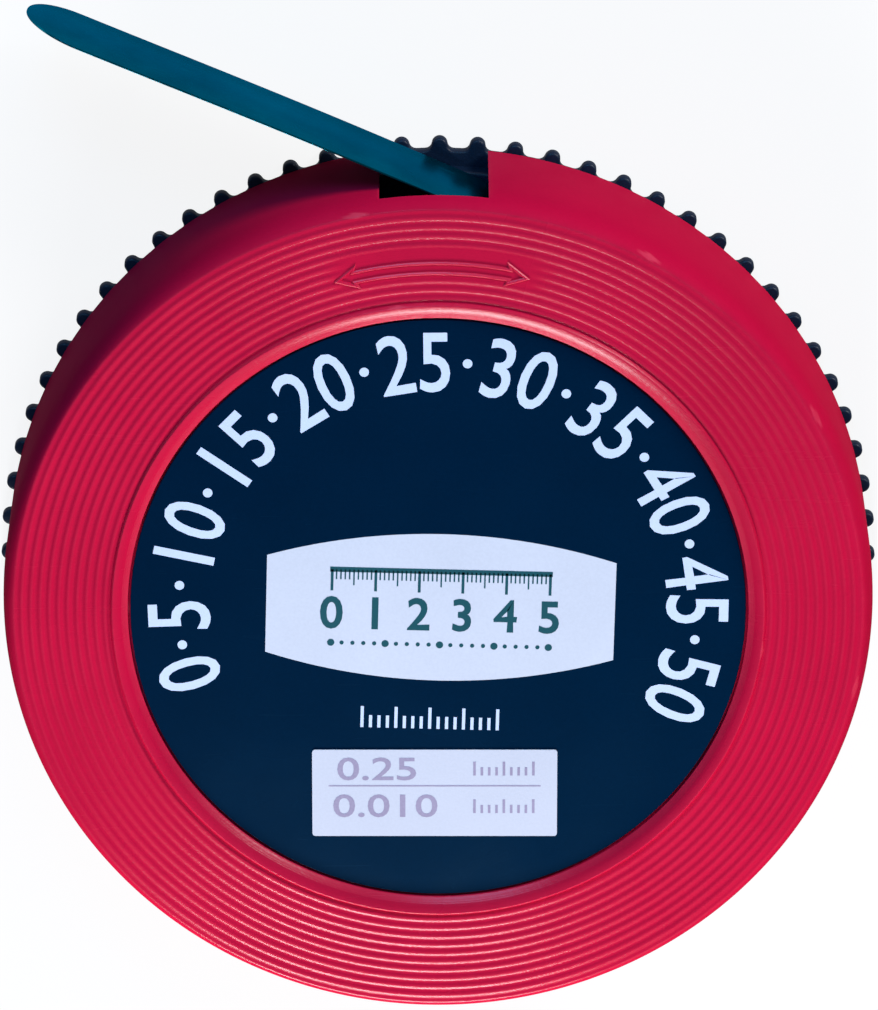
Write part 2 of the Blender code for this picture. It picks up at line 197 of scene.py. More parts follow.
class WheelSettings(bpy.types.PropertyGroup):
    """Sizes and colour of the knurled winding wheel."""

    steps: count("Steps", "Faces round the drum", 240)
    bump_count: count("Bumps", "Number of bumps on the rim", 72)
    bump_radius: length("Bump radius", "Radius of a bump", 0.9 * MM)
    bump_points: count("Bump points", "Steps round half a bump", 7)
    bump_turn: angle("Bump turn", "Angle of the first bump", -0.2)
    rim_inset: length("Rim inset", "How far the rim lies inside the housing's wall", 0.55 * MM)
    valley_round: length("Valley round", "Rounding where a bump meets the rim", 0.8 * MM)
    valley_points: count("Valley points", "Steps along the rounding of a valley", 4)
    rim_round: length("Rim round", "Rounding of the rim's edges", 0.3 * MM)
    rim_thickness: length("Rim thickness", "Thickness of the rim", 1.6 * MM)
    floor_height: length("Floor height", "Height of the floor that the coil lies on", 3.6 * MM)
    floor_radius: length("Floor radius", "Radius of the raised floor", 47.7 * MM)
    floor_round: length("Floor round", "Radius of the floor's edges", 0.4 * MM)
    drum_gap: length("Drum gap", "Clearance between drum and coil", 0.3 * MM)
    drum_wall: length("Drum wall", "Thickness of the drum's wall", 2.0 * MM)
    drum_round: length("Drum round", "Radius of the drum's edges", 0.25 * MM)
    foot_fillet: length("Foot fillet", "Fillet at the foot of the post and inside the drum", 0.5 * MM)
    post_radius: length("Post radius", "Radius of the snap post", 5.0 * MM)
    post_bore: length("Post bore", "Radius of the post's bore", 3.2 * MM)
    post_round: length("Post round", "Radius of the bore's upper edge", 0.3 * MM)
    post_lead: length("Post lead", "Radius of the post's upper edge, which leads it in", 0.7 * MM)
    bead_height: length("Bead height", "How far the snap bead stands out", 0.5 * MM)
    bead_length: length("Bead length", "Length of the snap bead", 1.6 * MM)
    bead_below_top: length("Bead depth", "From the post's top down to the bead", 1.6 * MM)
    colour: colour("Colour", "Colour of the black plastic", (0.003, 0.010, 0.026))


class TapeSettings(bpy.types.PropertyGroup):
    """Sizes and colours of the steel tape."""

    thickness: length("Thickness", "Thickness of the tape", 0.25 * MM)
    turn_gap: length("Turn gap", "Air between two turns of the coil", 0.04 * MM)
    steps: count("Steps", "Faces along one turn of the coil", 96)
    ease: angle("Ease", "Angle over which the outer turn lifts towards the window", 70.0)
    edge_round: length("Edge round", "Rounding of the tape's edges", 0.05 * MM)
    tip_points: count("Tip points", "Steps along each quarter of the round tip", 20)
    bow: length("Bow", "How far the free end bows out of a straight line", 0.25 * MM)
    slices: count("Slices", "Cuts along the free end", 40)
    colour: colour("Colour", "Colour of the blued steel", (0.0, 0.240, 0.350))
    deep_colour: colour("Deep colour", "Darker blue of the temper", (0.0, 0.175, 0.260))


class LabelSettings(bpy.types.PropertyGroup):
    """Sizes and colours of the printed label and its sticker."""

    steps: count("Steps", "Faces round the label", 240)
    edge_round: length("Edge round", "Radius of the label's upper edge", 0.12 * MM)
    print_turn: angle("Print turn", "Turn of the whole print on the label", -1.5)
    print_up: length("Print up", "How far the print lies above the label's centre", 0.5 * MM)
    print_rise: length("Print rise", "Thickness of the printed ink", 0.02 * MM)
    arc_radius: length("Arc radius", "Middle radius of the row of numbers", 29.75 * MM)
    arc_height: length("Number height", "Height of the numbers on the arc", 6.9 * MM)
    arc_narrow: factor("Number width", "Width of the arc's digits against the font's", 0.84)
    arc_bold: length("Number weight", "How much the arc's digits are thickened", 0.09 * MM)
    arc_start: angle("Arc start", "Angle of the first number", 202.0)
    arc_end: angle("Arc end", "Angle of the last number", -26.5)
    dot_radius: length("Dot radius", "Radius of the dots between the numbers", 0.55 * MM)
    dot_share: factor("Dot share", "Room of a dot on the arc against that of a digit", 0.62)
    numbers: count("Numbers", "How many numbers stand on the arc", 11)
    number_step: count("Number step", "Difference between two numbers", 5)
    panel_width: length("Panel width", "Width of the pale panel", 40.0 * MM)
    panel_side: length("Panel side", "Height of the panel's straight sides", 11.9 * MM)
    panel_height: length("Panel height", "Height of the panel at its middle", 18.0 * MM)
    panel_right: length("Panel right", "How far the panel lies right of the print's centre", 0.28 * MM)
    panel_down: length("Panel down", "How far the panel lies under the print's centre", 0.1 * MM)
    row_left: length("Row left", "How far the small row lies left of the centre", 0.6 * MM)
    row_y: length("Row depth", "How far the small row lies under the centre", 13.8 * MM)
    row_width: length("Row width", "Width of the small row", 15.6 * MM)
    sticker_thickness: length("Sticker thickness", "Thickness of the paper sticker", 0.12 * MM)
    sticker_round: length("Sticker round", "Radius of the sticker's corners", 0.35 * MM)
    label_colour: colour("Label colour", "Colour of the label's ground", (0.0, 0.0105, 0.033))
    label_tint: colour("Label tint", "Tint of the label's reflections", (0.1, 0.6, 1.0))
    ink_colour: colour("Ink colour", "Colour of the pale ink", (0.60, 0.68, 0.90))
    panel_colour: colour("Panel colour", "Colour of the panel", (0.60, 0.62, 0.71))
    teal_colour: colour("Teal colour", "Colour of the panel's scale", (0.006, 0.075, 0.095))
    paper_colour: colour("Paper colour", "Colour of the sticker", (0.57, 0.58, 0.67))
    grey_colour: colour("Grey ink colour", "Colour of the sticker's numbers", (0.33, 0.28, 0.40))


class StageSettings(bpy.types.PropertyGroup):
    """Camera, lamps and floor."""

    tilt: angle("Tilt", "How far the camera leans from straight above", 20.544)
    distance: length("Distance", "Distance of the camera", 1.0)
    lens: bpy.props.FloatProperty(
        name="Lens", description="Focal length of the camera", default=305.04, subtype="DISTANCE_CAMERA"
    )
    aim: bpy.props.FloatVectorProperty(
        name="Aim", description="Point that the camera looks at", default=(0.0001, 0.00483, -0.00181),
        size=3, subtype="TRANSLATION",
    )
    near_power: power("Near power", "Power of the wide lamp on the near side", 4.0)
    near_turn: angle("Near turn", "Turn of the near lamp from +X towards +Y", 264.0)
    near_height: angle("Near height", "Height of the near lamp over the floor", 24.0)
    side_power: power("Side power", "Power of the lamp on the window's right", 7.0)
    side_turn: angle("Side turn", "Turn of the side lamp from +X towards +Y", 45.0)
    side_height: angle("Side height", "Height of the side lamp over the floor", 20.0)
    back_power: power("Back power", "Power of the cool lamp behind the window", 1.0)
    back_turn: angle("Back turn", "Turn of the back lamp from +X towards +Y", 100.0)
    back_height: angle("Back height", "Height of the back lamp over the floor", 35.0)
    back_colour: colour("Back colour", "Colour of the back lamp", (0.15, 0.55, 1.0))
    world_colour: colour("World colour", "Colour of the light from overhead", (0.12, 0.155, 0.23))
    ceiling_level: factor("Ceiling level", "Level of the dim ceiling in reflections", 0.08)
    floor_radius: length("Floor radius", "Radius of the round floor", 4.0)
    floor_glow: factor("Floor glow", "Share of plain white that the camera sees on the floor", 0.88)
    floor_mirror: factor("Floor mirror", "Share of plain white that reflections see on the floor", 0.25)
    floor_colour: colour("Floor colour", "Colour of the floor that the camera sees", (0.85, 0.85, 0.85))
    bounce_colour: colour("Bounce colour", "Colour of the floor that lights the object", (0.13, 0.14, 0.17))


def settings(kind):
    """The scene's settings of one kind."""
    return getattr(bpy.context.scene, "tape_roll_" + kind)


# Shapes

def arc(centre, radius, start, end, segments):
    """Points along an arc, both ends included."""
    points = []
    for step in range(segments + 1):
        turn = start + (end - start) * step / segments
        points.append((centre[0] + radius * math.cos(turn), centre[1] + radius * math.sin(turn)))
    return points


def polyline(shape, points, closed=False):
    """Draws a line through points, and gives its vertices."""
    verts = [shape.verts.new(point) for point in points]
    for first, second in zip(verts, verts[1:]):
        shape.edges.new((first, second))
    if closed:
        shape.edges.new((verts[-1], verts[0]))
    return verts


def round_off(shape, parts, radius, segments, affect="EDGES", clamp=True):
    """Rounds edges or corners."""
    bmesh.ops.bevel(
        shape, geom=parts, offset=radius, offset_type="OFFSET", segments=segments, profile=0.5,
        affect=affect, clamp_overlap=clamp, material=-1,
    )


def spin(shape, parts, turn, steps, **options):
    """Spins parts of a bmesh round the Z axis."""
    return bmesh.ops.spin(
        shape, geom=parts, axis=(0, 0, 1), cent=(0, 0, 0), dvec=(0, 0, 0), angle=turn, steps=steps, **options
    )


def section(shape, points, closed=False):
    """Draws an (r, z) or (r, z, corner radius) section upright in the XZ plane."""
    verts = polyline(shape, [(point[0], 0.0, point[1]) for point in points], closed)
    corners = {}
    for point, vert in zip(points, verts):
        if len(point) == 3:
            corners.setdefault(point[2], []).append(vert)
    for radius, group in corners.items():
        round_off(shape, group, radius, 3, "VERTICES", clamp=False)


def close_up(shape):
    """Merges doubles and turns every face outwards."""
    bmesh.ops.remove_doubles(shape, verts=shape.verts, dist=MERGE_DISTANCE)
    bmesh.ops.recalc_face_normals(shape, faces=shape.faces)


def turned_body(points, steps):
    """Closed body, turned from a section that starts and ends on the axis."""
    shape = bmesh.new()
    section(shape, points)
    spin(shape, shape.verts[:] + shape.edges[:], FULL_TURN, steps, use_merge=True, use_duplicate=False)
    close_up(shape)
    return shape


def thicken(shape, depth):
    """Extrudes flat faces up along Z into a closed body."""
    raised = bmesh.ops.extrude_face_region(shape, geom=shape.faces[:], use_keep_orig=True)
    verts = [item for item in raised["geom"] if isinstance(item, bmesh.types.BMVert)]
    bmesh.ops.translate(shape, verts=verts, vec=(0.0, 0.0, depth))
    bmesh.ops.recalc_face_normals(shape, faces=shape.faces)


def block(shape, low, high, place=Matrix.Identity(4)):
    """Adds a box between two corners, and then puts it in its place."""
    size = Vector(high) - Vector(low)
    middle = (Vector(high) + Vector(low)) / 2
    matrix = place @ Matrix.Translation(middle) @ Matrix.Diagonal((*size, 1.0))
    bmesh.ops.create_cube(shape, size=1.0, matrix=matrix)


def new_object(name, shape):
    """Makes an object of the scene from a bmesh, and frees the bmesh."""
    mesh = bpy.data.meshes.new(name)
    shape.to_mesh(mesh)
    shape.free()
    return link_object(name, mesh)


def link_object(name, data):
    """Makes an object of the scene from a mesh, a curve, a lamp or a camera."""
    item = bpy.data.objects.new(name, data)
    bpy.context.scene.collection.objects.link(item)
    return item


def evaluated_mesh(item):
    """Mesh of an object with its modifiers applied."""
    bpy.context.view_layer.update()
    return bpy.data.meshes.new_from_object(item.evaluated_get(bpy.context.evaluated_depsgraph_get()))


def combine(item, tool, operation):
    """Cuts or joins an object with a second one, applies that, and removes the second."""
    modifier = item.modifiers.new(tool.name, "BOOLEAN")
    modifier.operation = operation
    modifier.solver = "EXACT"
    modifier.object = tool
    old = item.data
    mesh = evaluated_mesh(item)
    item.modifiers.clear()
    item.data = mesh
    bpy.data.meshes.remove(old)
    bpy.data.objects.remove(tool, do_unlink=True)


def dress(item, material, body, replaced=()):
    """Finishes a piece: smooth shading, material and body, and hides the parts that it replaces."""
    item.data.shade_smooth()
    item.data.set_sharp_from_angle(angle=SHARP_ANGLE)
    item.data.materials.clear()
    item.data.materials.append(material)
    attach(item, body)
    if replaced:
        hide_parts(*replaced)


# Shader groups and materials

SOCKET_KINDS = {"Vector": "NodeSocketVector", "Colour": "NodeSocketColor"}


def new_group(name, inputs, outputs):
    """Makes a shader node group and gives its inner sockets, or gives back the one made before."""
    if name in bpy.data.node_groups:
        return bpy.data.node_groups[name], None, None
    group = bpy.data.node_groups.new(name, "ShaderNodeTree")
    for label, default in {"Vector": None, **inputs}.items():
        kind = SOCKET_KINDS.get(label, "NodeSocketFloat")
        socket = group.interface.new_socket(name=label, in_out="INPUT", socket_type=kind)
        if default is not None:
            socket.default_value = default
    for label in outputs:
        kind = SOCKET_KINDS.get(label, "NodeSocketFloat")
        group.interface.new_socket(name=label, in_out="OUTPUT", socket_type=kind)
    return group, group.nodes.new("NodeGroupInput").outputs, group.nodes.new("NodeGroupOutput").inputs


def connect(tree, value, socket):
    """Links a socket to another, or sets its value."""
    if isinstance(value, bpy.types.NodeSocket):
        tree.links.new(value, socket)
    else:
        socket.default_value = value


def add(tree, kind, inputs, **options):
    """Adds a node, sets its options, and links or sets its inputs."""
    item = tree.nodes.new(kind)
    for name, value in options.items():
        setattr(item, name, value)
    for name, value in inputs.items():
        connect(tree, value, item.inputs[name])
    return item


def maths(tree, operation, first, second=0.0, clamp=False):
    """Adds a Math node and gives its output."""
    item = add(tree, "ShaderNodeMath", {0: first, 1: second}, operation=operation, use_clamp=clamp)
    return item.outputs[0]


def noise(tree, vector, scale, detail, distortion=0.0):
    """Adds a noise texture and gives its value."""
    return add(tree, "ShaderNodeTexNoise", {
        "Vector": vector, "Scale": scale, "Detail": detail, "Distortion": distortion,
    }).outputs["Fac"]


def swing(tree, value, amount):
    """Turns a noise value from 0 to 1 into a change of half an amount either way."""
    return maths(tree, "MULTIPLY", maths(tree, "SUBTRACT", value, 0.5), amount)


def remap(tree, value, low, high, to_low=0.0, to_high=1.0):
    """Maps a range of values to another and gives the result."""
    return add(tree, "ShaderNodeMapRange", {
        "Value": value, "From Min": low, "From Max": high, "To Min": to_low, "To Max": to_high,
    }).outputs["Result"]


def blend(tree, share, first, second):
    """Mixes two colours by a share and gives the result."""
    return add(tree, "ShaderNodeMix", {0: share, 6: first, 7: second}, data_type="RGBA").outputs[2]


def grain_group():
    """Fine pits and swells of a moulded or printed surface, as a height."""
    group, entry, leave = new_group(
        "Moulded grain", {"Scale": 3000.0, "Swell scale": 250.0, "Swell share": 0.5}, ["Height"]
    )
    if entry:
        fine = noise(group, entry["Vector"], entry["Scale"], 3.0)
        swell = noise(group, entry["Vector"], entry["Swell scale"], 1.0)
        mixed = add(group, "ShaderNodeMix", {0: entry["Swell share"], 2: fine, 3: swell})
        connect(group, mixed.outputs[0], leave["Height"])
    return group


def drift_group():
    """Slow change of a colour over the surface, lighter and darker than the colour given."""
    group, entry, leave = new_group(
        "Colour drift",
        {"Colour": None, "Scale": 60.0, "Amount": 0.1, "Fleck scale": 1800.0, "Fleck amount": 0.04},
        ["Colour"],
    )
    if entry:
        cloud = noise(group, entry["Vector"], entry["Scale"], 3.0)
        fleck = noise(group, entry["Vector"], entry["Fleck scale"], 2.0)
        parts = maths(group, "ADD", swing(group, cloud, entry["Amount"]),
                      swing(group, fleck, entry["Fleck amount"]))
        level = maths(group, "MULTIPLY", maths(group, "ADD", parts, 0.5), 2.0)
        tinted = add(group, "ShaderNodeVectorMath", {0: entry["Colour"], "Scale": level}, operation="SCALE")
        connect(group, tinted.outputs["Vector"], leave["Colour"])
    return group


def handling_group():
    """Uneven gloss of a handled surface: soft smudges and a few fine scratches."""
    group, entry, leave = new_group(
        "Handling marks",
        {"Base": 0.3, "Smudge": 0.12, "Smudge scale": 70.0, "Scratch": 0.1, "Scratch scale": 120.0},
        ["Roughness"],
    )
    if entry:
        smudge = noise(group, entry["Vector"], entry["Smudge scale"], 4.0, 0.6)
        streak = add(group, "ShaderNodeMapping", {
            "Vector": entry["Vector"], "Rotation": (0.3, 0.2, 0.9), "Scale": (1.0, 14.0, 6.0),
        })
        fine = noise(group, streak.outputs["Vector"], entry["Scratch scale"], 2.0, 0.4)
        scratches = maths(group, "MULTIPLY", remap(group, fine, 0.66, 0.72), entry["Scratch"])
        rough = maths(group, "ADD", entry["Base"], swing(group, smudge, entry["Smudge"]))
        connect(group, maths(group, "ADD", rough, scratches, clamp=True), leave["Roughness"])
    return group


def rings_group():
    """Fine turning marks that run round the Z axis, as a height."""
    group, entry, leave = new_group("Turned rings", {"Scale": 4000.0}, ["Height"])
    if entry:
        x, y, _ = add(group, "ShaderNodeSeparateXYZ", {0: entry["Vector"]}).outputs
        square = maths(group, "ADD", maths(group, "MULTIPLY", x, x), maths(group, "MULTIPLY", y, y))
        marks = add(group, "ShaderNodeTexNoise", {
            "W": maths(group, "SQRT", square), "Scale": entry["Scale"], "Detail": 2.0,
        }, noise_dimensions="1D")
        connect(group, marks.outputs["Fac"], leave["Height"])
    return group


def rolled_group():
    """Rolling marks of strip steel, long along U and fine across V, as a height and a mask."""
    group, entry, leave = new_group(
        "Rolled grain", {"Along": 60.0, "Across": 5200.0, "Temper scale": 45.0}, ["Height", "Temper"]
    )
    if entry:
        stretch = add(group, "ShaderNodeCombineXYZ", {"X": entry["Along"], "Y": entry["Across"], "Z": 1.0})
        lines = add(group, "ShaderNodeVectorMath", {0: entry["Vector"], 1: stretch.outputs["Vector"]},
                    operation="MULTIPLY")
        connect(group, noise(group, lines.outputs["Vector"], 1.0, 3.0), leave["Height"])
        connect(group, noise(group, entry["Vector"], entry["Temper scale"], 2.0, 0.8), leave["Temper"])
    return group


def wear_group():
    """Mask of the raised edges, where hands and benches rub them pale."""
    group, entry, leave = new_group(
        "Edge rub", {"Start": 0.52, "End": 0.62, "Break scale": 500.0}, ["Mask"]
    )
    if entry:
        corner = add(group, "ShaderNodeNewGeometry", {})
        rise = remap(group, corner.outputs["Pointiness"], entry["Start"], entry["End"])
        patchy = noise(group, entry["Vector"], entry["Break scale"], 3.0)
        connect(group, maths(group, "MULTIPLY", rise, patchy, clamp=True), leave["Mask"])
    return group


def use_group(tree, group, **inputs):
    """Places a node group and gives its outputs; an input's name has _ for a space."""
    item = tree.nodes.new("ShaderNodeGroup")
    item.node_tree = group
    for name, value in inputs.items():
        connect(tree, value, item.inputs[name.replace("_", " ").capitalize()])
    return item.outputs


def new_material(name):
    """Makes a material with a Principled shader, and gives its tree, shader and output node."""
    material = bpy.data.materials.new(name)
    material.use_nodes = True
    tree = material.node_tree
    tree.nodes.clear()
    output = tree.nodes.new("ShaderNodeOutputMaterial")
    shader = tree.nodes.new("ShaderNodeBsdfPrincipled")
    connect(tree, shader.outputs["BSDF"], output.inputs["Surface"])
    return material, tree, shader, output


def bump(tree, shader, height, depth, under=None):
    """Feeds a height to the shader's normal, over another normal if one is given."""
    inputs = {"Height": height, "Distance": depth, "Strength": 1.0}
    if under:
        inputs["Normal"] = under
    normal = add(tree, "ShaderNodeBump", inputs).outputs["Normal"]
    connect(tree, normal, shader.inputs["Normal"])
    return normal


def opaque(rgb):
    """Colour with full alpha."""
    return (*rgb, 1.0)


def surface(name, rgb, sheen, grain_depth, drift, marks, grain, rub=None, pale=None):
    """Plastic, ink or paper: drifting colour, rubbed edges, handled gloss and a fine grain."""
    material, tree, shader, _ = new_material(name)
    at = tree.nodes.new("ShaderNodeTexCoord").outputs["Object"]
    base = use_group(tree, drift_group(), vector=at, colour=opaque(rgb), **drift)["Colour"]
    if rub:
        base = blend(tree, use_group(tree, wear_group(), vector=at, **rub)["Mask"], base, opaque(pale))
    height = use_group(tree, grain_group(), vector=at, **grain)["Height"]
    connect(tree, base, shader.inputs["Base Color"])
    connect(tree, use_group(tree, handling_group(), vector=at, **marks)["Roughness"],
            shader.inputs["Roughness"])
    shader.inputs["Specular IOR Level"].default_value = sheen
    return material, tree, shader, at, bump(tree, shader, height, grain_depth)


def red_plastic(name, rgb, roughness, sheen):
    """Red moulded plastic with turning marks and edges rubbed a little pale."""
    material, tree, shader, at, normal = surface(
        name, rgb, sheen, 0.03 * MM,
        drift={"scale": 45.0, "amount": 0.16, "fleck_scale": 2200.0, "fleck_amount": 0.05},
        marks={"base": roughness, "smudge": 0.10, "smudge_scale": 55.0, "scratch": 0.02,
               "scratch_scale": 90.0},
        grain={"scale": 2600.0, "swell_scale": 260.0, "swell_share": 0.45},
        rub={"start": 0.505, "end": 0.60, "break_scale": 350.0}, pale=(0.72, 0.055, 0.10),
    )
    rings = use_group(tree, rings_group(), vector=at, scale=5200.0)
    bump(tree, shader, rings["Height"], 0.012 * MM, normal)
    return material


def black_plastic(name, rgb):
    """Satin black plastic with a fine eroded texture and a little grey on its edges."""
    return surface(
        name, rgb, 0.2, 0.05 * MM,
        drift={"scale": 70.0, "amount": 0.3, "fleck_scale": 2600.0, "fleck_amount": 0.25},
        marks={"base": 0.42, "smudge": 0.16, "smudge_scale": 60.0, "scratch": 0.10,
               "scratch_scale": 100.0},
        grain={"scale": 4200.0, "swell_scale": 900.0, "swell_share": 0.3},
        rub={"start": 0.52, "end": 0.66, "break_scale": 420.0}, pale=(0.008, 0.018, 0.038),
    )[0]


def printed(name, rgb, roughness=0.45, drift=0.06, grain_depth=0.006 * MM, sheen=0.2, tint=WHITE):
    """Ink, film or paper: one colour with a slight drift, uneven gloss and a fine grain."""
    material, _, shader, _, _ = surface(
        name, rgb, sheen, grain_depth,
        drift={"scale": 90.0, "amount": drift, "fleck_scale": 3200.0, "fleck_amount": drift},
        marks={"base": roughness, "smudge": 0.14, "smudge_scale": 80.0, "scratch": 0.03,
               "scratch_scale": 110.0},
        grain={"scale": 5000.0, "swell_scale": 600.0, "swell_share": 0.35},
    )
    shader.inputs["Specular Tint"].default_value = opaque(tint)
    return material


def blued_steel(name, rgb, deep):
    """Blue tempered spring steel with rolling marks along its length."""
    material, tree, shader, _ = new_material(name)
    at = tree.nodes.new("ShaderNodeTexCoord").outputs["UV"]
    grain = use_group(tree, rolled_group(), vector=at, along=55.0, across=5200.0, temper_scale=42.0)
    mixed = blend(tree, remap(tree, grain["Temper"], 0.35, 0.65), opaque(deep), opaque(rgb))
    tinted = use_group(tree, drift_group(), vector=at, colour=mixed, scale=320.0, amount=0.18,
                       fleck_scale=2400.0, fleck_amount=0.08)
    marks = use_group(tree, handling_group(), vector=at, base=0.30, smudge=0.18, smudge_scale=130.0,
                      scratch=0.14, scratch_scale=160.0)
    connect(tree, tinted["Colour"], shader.inputs["Base Color"])
    connect(tree, marks["Roughness"], shader.inputs["Roughness"])
    shader.inputs["Metallic"].default_value = 1.0
    shader.inputs["Specular Tint"].default_value = (0.0, 0.60, 0.90, 1.0)
    bump(tree, shader, grain["Height"], 0.006 * MM)
    return material


def kept_material(maker, name, *values, **options):
    """Gives back a material that was made before, or makes it."""
    return bpy.data.materials.get(name) or maker(name, *values, **options)


# Housing

def ring_height(sizes, radius):
    """Height of the front ring at a radius, without its grooves: flat, then down the shoulder."""
    along = (radius - HOUSING_RADIUS) / sizes.shoulder_width + 1.0
    along = min(1.0, max(0.0, along))
    fullness = sizes.shoulder_fullness
    drop = sizes.shoulder_drop * (1.0 - (1.0 - along ** fullness) ** (1.0 / fullness))
    return HOUSING_HIGH.z - sizes.lip_rise - drop


def lip(sizes, pocket):
    """Lip beside the label's pocket: a steep inner side, and a broad face that slopes to the label."""
    top = pocket + sizes.lip_top
    across = sizes.lip_face * math.cos(sizes.lip_slope)
    down = sizes.lip_face * math.sin(sizes.lip_slope)
    return [
        (pocket, LABEL_HIGH.z + sizes.lip_foot),
        (top - across, HOUSING_HIGH.z - down, sizes.lip_inner_round),
        (top, HOUSING_HIGH.z, sizes.lip_outer_round),
    ]


def grooves(sizes, first_valley):
    """Rounded grooves from the first valley out to the last crest."""
    points = []
    for step in range(sizes.crests * sizes.groove_points - sizes.groove_points // 2 + 1):
        share = step / sizes.groove_points
        radius = first_valley + share * sizes.groove_pitch
        dip = sizes.groove_depth * (0.5 + 0.5 * math.cos(FULL_TURN * share))
        points.append((radius, ring_height(sizes, radius) - dip))
    return points


def shoulder(sizes, inner):
    """Long round from the last crest down to the straight part of the wall."""
    centre = HOUSING_RADIUS - sizes.shoulder_width
    start = math.asin((inner - centre) / sizes.shoulder_width)
    turns = arc((0.0, 0.0), 1.0, start, math.pi / 2, sizes.shoulder_points)[1:]
    radii = [centre + sizes.shoulder_width * sine for _, sine in turns]
    return [(radius, ring_height(sizes, radius)) for radius in radii]


def housing_section(sizes):
    """Section of the housing: label pocket, lip, grooved ring, shoulder, wall, rib and socket."""
    seat = LABEL_LOW.z - sizes.pocket_gap
    pocket = LABEL_RADIUS + sizes.pocket_gap
    ring = grooves(sizes, pocket + sizes.ring_start)
    inner = HOUSING_RADIUS - sizes.wall
    rib_low = COIL_HIGH.z + sizes.cover_gap
    underside = rib_low + sizes.rib_height
    rib_outer = (COIL_INNER_RADIUS + COIL_HIGH.x + sizes.rib_width) / 2
    rib_inner = rib_outer - sizes.rib_width
    foot = COIL_LOW.z
    snap = sizes.post_groove - sizes.post_bore
    snap_high = COIL_HIGH.z - sizes.snap_drop
    snap_low = snap_high - sizes.snap_length
    corner = sizes.corner_round
    return [
        (0.0, seat),
        (pocket, seat, sizes.pocket_round),
        *lip(sizes, pocket),
        *ring,
        *shoulder(sizes, ring[-1][0]),
        (HOUSING_RADIUS, HOUSING_LOW.z, corner),
        (inner, HOUSING_LOW.z, corner),
        (inner, underside, corner),
        (rib_outer, underside, corner),
        (rib_outer, rib_low, corner),
        (rib_inner, rib_low, corner),
        (rib_inner, underside, corner),
        (sizes.socket_radius, underside, sizes.socket_round),
        (sizes.socket_radius, foot, corner),
        (sizes.post_bore, foot, corner),
        (sizes.post_bore, snap_low),
        (sizes.post_groove, snap_low + snap),
        (sizes.post_groove, snap_high - snap),
        (sizes.post_bore, snap_high),
        (sizes.post_bore, underside),
        (0.0, underside),
    ]


def smooth_patch(shape, sizes):
    """Lifts the grooves behind the moulded arrow to a plain patch."""
    for vert in shape.verts:
        radius = vert.co.xy.length
        on_face = vert.co.z > ring_height(sizes, radius) - 2 * sizes.groove_depth
        if not on_face or not sizes.patch_inner < radius < sizes.patch_outer:
            continue
        off = abs(math.atan2(vert.co.y, vert.co.x) - math.pi / 2)
        share = min(1.0, max(0.0, (sizes.patch_angle - off) / sizes.patch_fade))
        level = ring_height(sizes, radius) - 0.5 * sizes.groove_depth
        vert.co.z += (level - vert.co.z) * share


def window_cutter(sizes):
    """Box that cuts the window."""
    low = (HOUSING_RADIUS - sizes.wall - CUT_MARGIN, -sizes.window_width / 2, HOUSING_LOW.z - CUT_MARGIN)
    high = (HOUSING_RADIUS + CUT_MARGIN, sizes.window_width / 2, COIL_HIGH.z + sizes.window_headroom)
    shape = bmesh.new()
    block(shape, low, high, Matrix.Rotation(sizes.window_turn, 4, "Z"))
    return new_object("window_cutter", shape)


def soften_window(item, sizes):
    """Rounds the edges that the window's cutter left."""
    back = Matrix.Rotation(-sizes.window_turn, 4, "Z")
    planes = (
        (1, sizes.window_width / 2),
        (1, -sizes.window_width / 2),
        (2, COIL_HIGH.z + sizes.window_headroom),
    )
    shape = bmesh.new()
    shape.from_mesh(item.data)
    bmesh.ops.remove_doubles(shape, verts=shape.verts, dist=MERGE_DISTANCE)
    edges = []
    for edge in shape.edges:
        if len(edge.link_faces) != 2 or edge.calc_face_angle() < CUT_EDGE_ANGLE:
            continue
        ends = [back @ vert.co for vert in edge.verts]
        near = ends[0].x >= 0.0
        if near and any(all(abs(end[axis] - at) < PLANE_TOLERANCE for end in ends) for axis, at in planes):
            edges.append(edge)
    round_off(shape, edges, sizes.window_round, 2)
    bmesh.ops.dissolve_degenerate(shape, edges=shape.edges, dist=MERGE_DISTANCE)
    shape.to_mesh(item.data)
    shape.free()


def glossy_red(sizes):
    """Material of the ring, the lip and the arrow."""
    return kept_material(red_plastic, "red_glossy_face", sizes.colour, sizes.face_roughness,
                         sizes.face_sheen)


class TAPE_ROLL_OT_housing(bpy.types.Operator):
    """Builds the red housing with its grooved ring, lip, pocket, wall and window"""

    bl_idname = "tape_roll.housing"
    bl_label = "Housing"

    def execute(self, context):
        sizes = settings("housing")
        shape = turned_body(housing_section(sizes), sizes.steps)
        smooth_patch(shape, sizes)
        item = new_object("housing_shell", shape)
        combine(item, window_cutter(sizes), "DIFFERENCE")
        soften_window(item, sizes)
        dress(item, glossy_red(sizes), "housing", ("housing",))
        item.data.materials.append(kept_material(
            red_plastic, "red_satin_wall", sizes.colour, sizes.wall_roughness, sizes.wall_sheen
        ))
        last_crest = LABEL_RADIUS + sizes.pocket_gap + sizes.ring_start
        last_crest += (sizes.crests - 0.5) * sizes.groove_pitch
        for face in item.data.polygons:
            if face.center.xy.length > last_crest:
                face.material_index = 1
        return {"FINISHED"}


def arrow_outline(sizes):
    """Right half of the double arrow's outline, flat, from the upper middle to the lower middle."""
    half_band = sizes.arrow_band / 2
    neck = sizes.arrow_half - sizes.arrow_neck
    barb = sizes.arrow_half - sizes.arrow_barb
    shaft = [(neck * step / sizes.arrow_points, half_band) for step in range(sizes.arrow_points + 1)]
    head = [(barb, sizes.arrow_head), (sizes.arrow_half, 0.0), (barb, -sizes.arrow_head)]
    return shaft + head + [(x, -y) for x, y in reversed(shaft)]


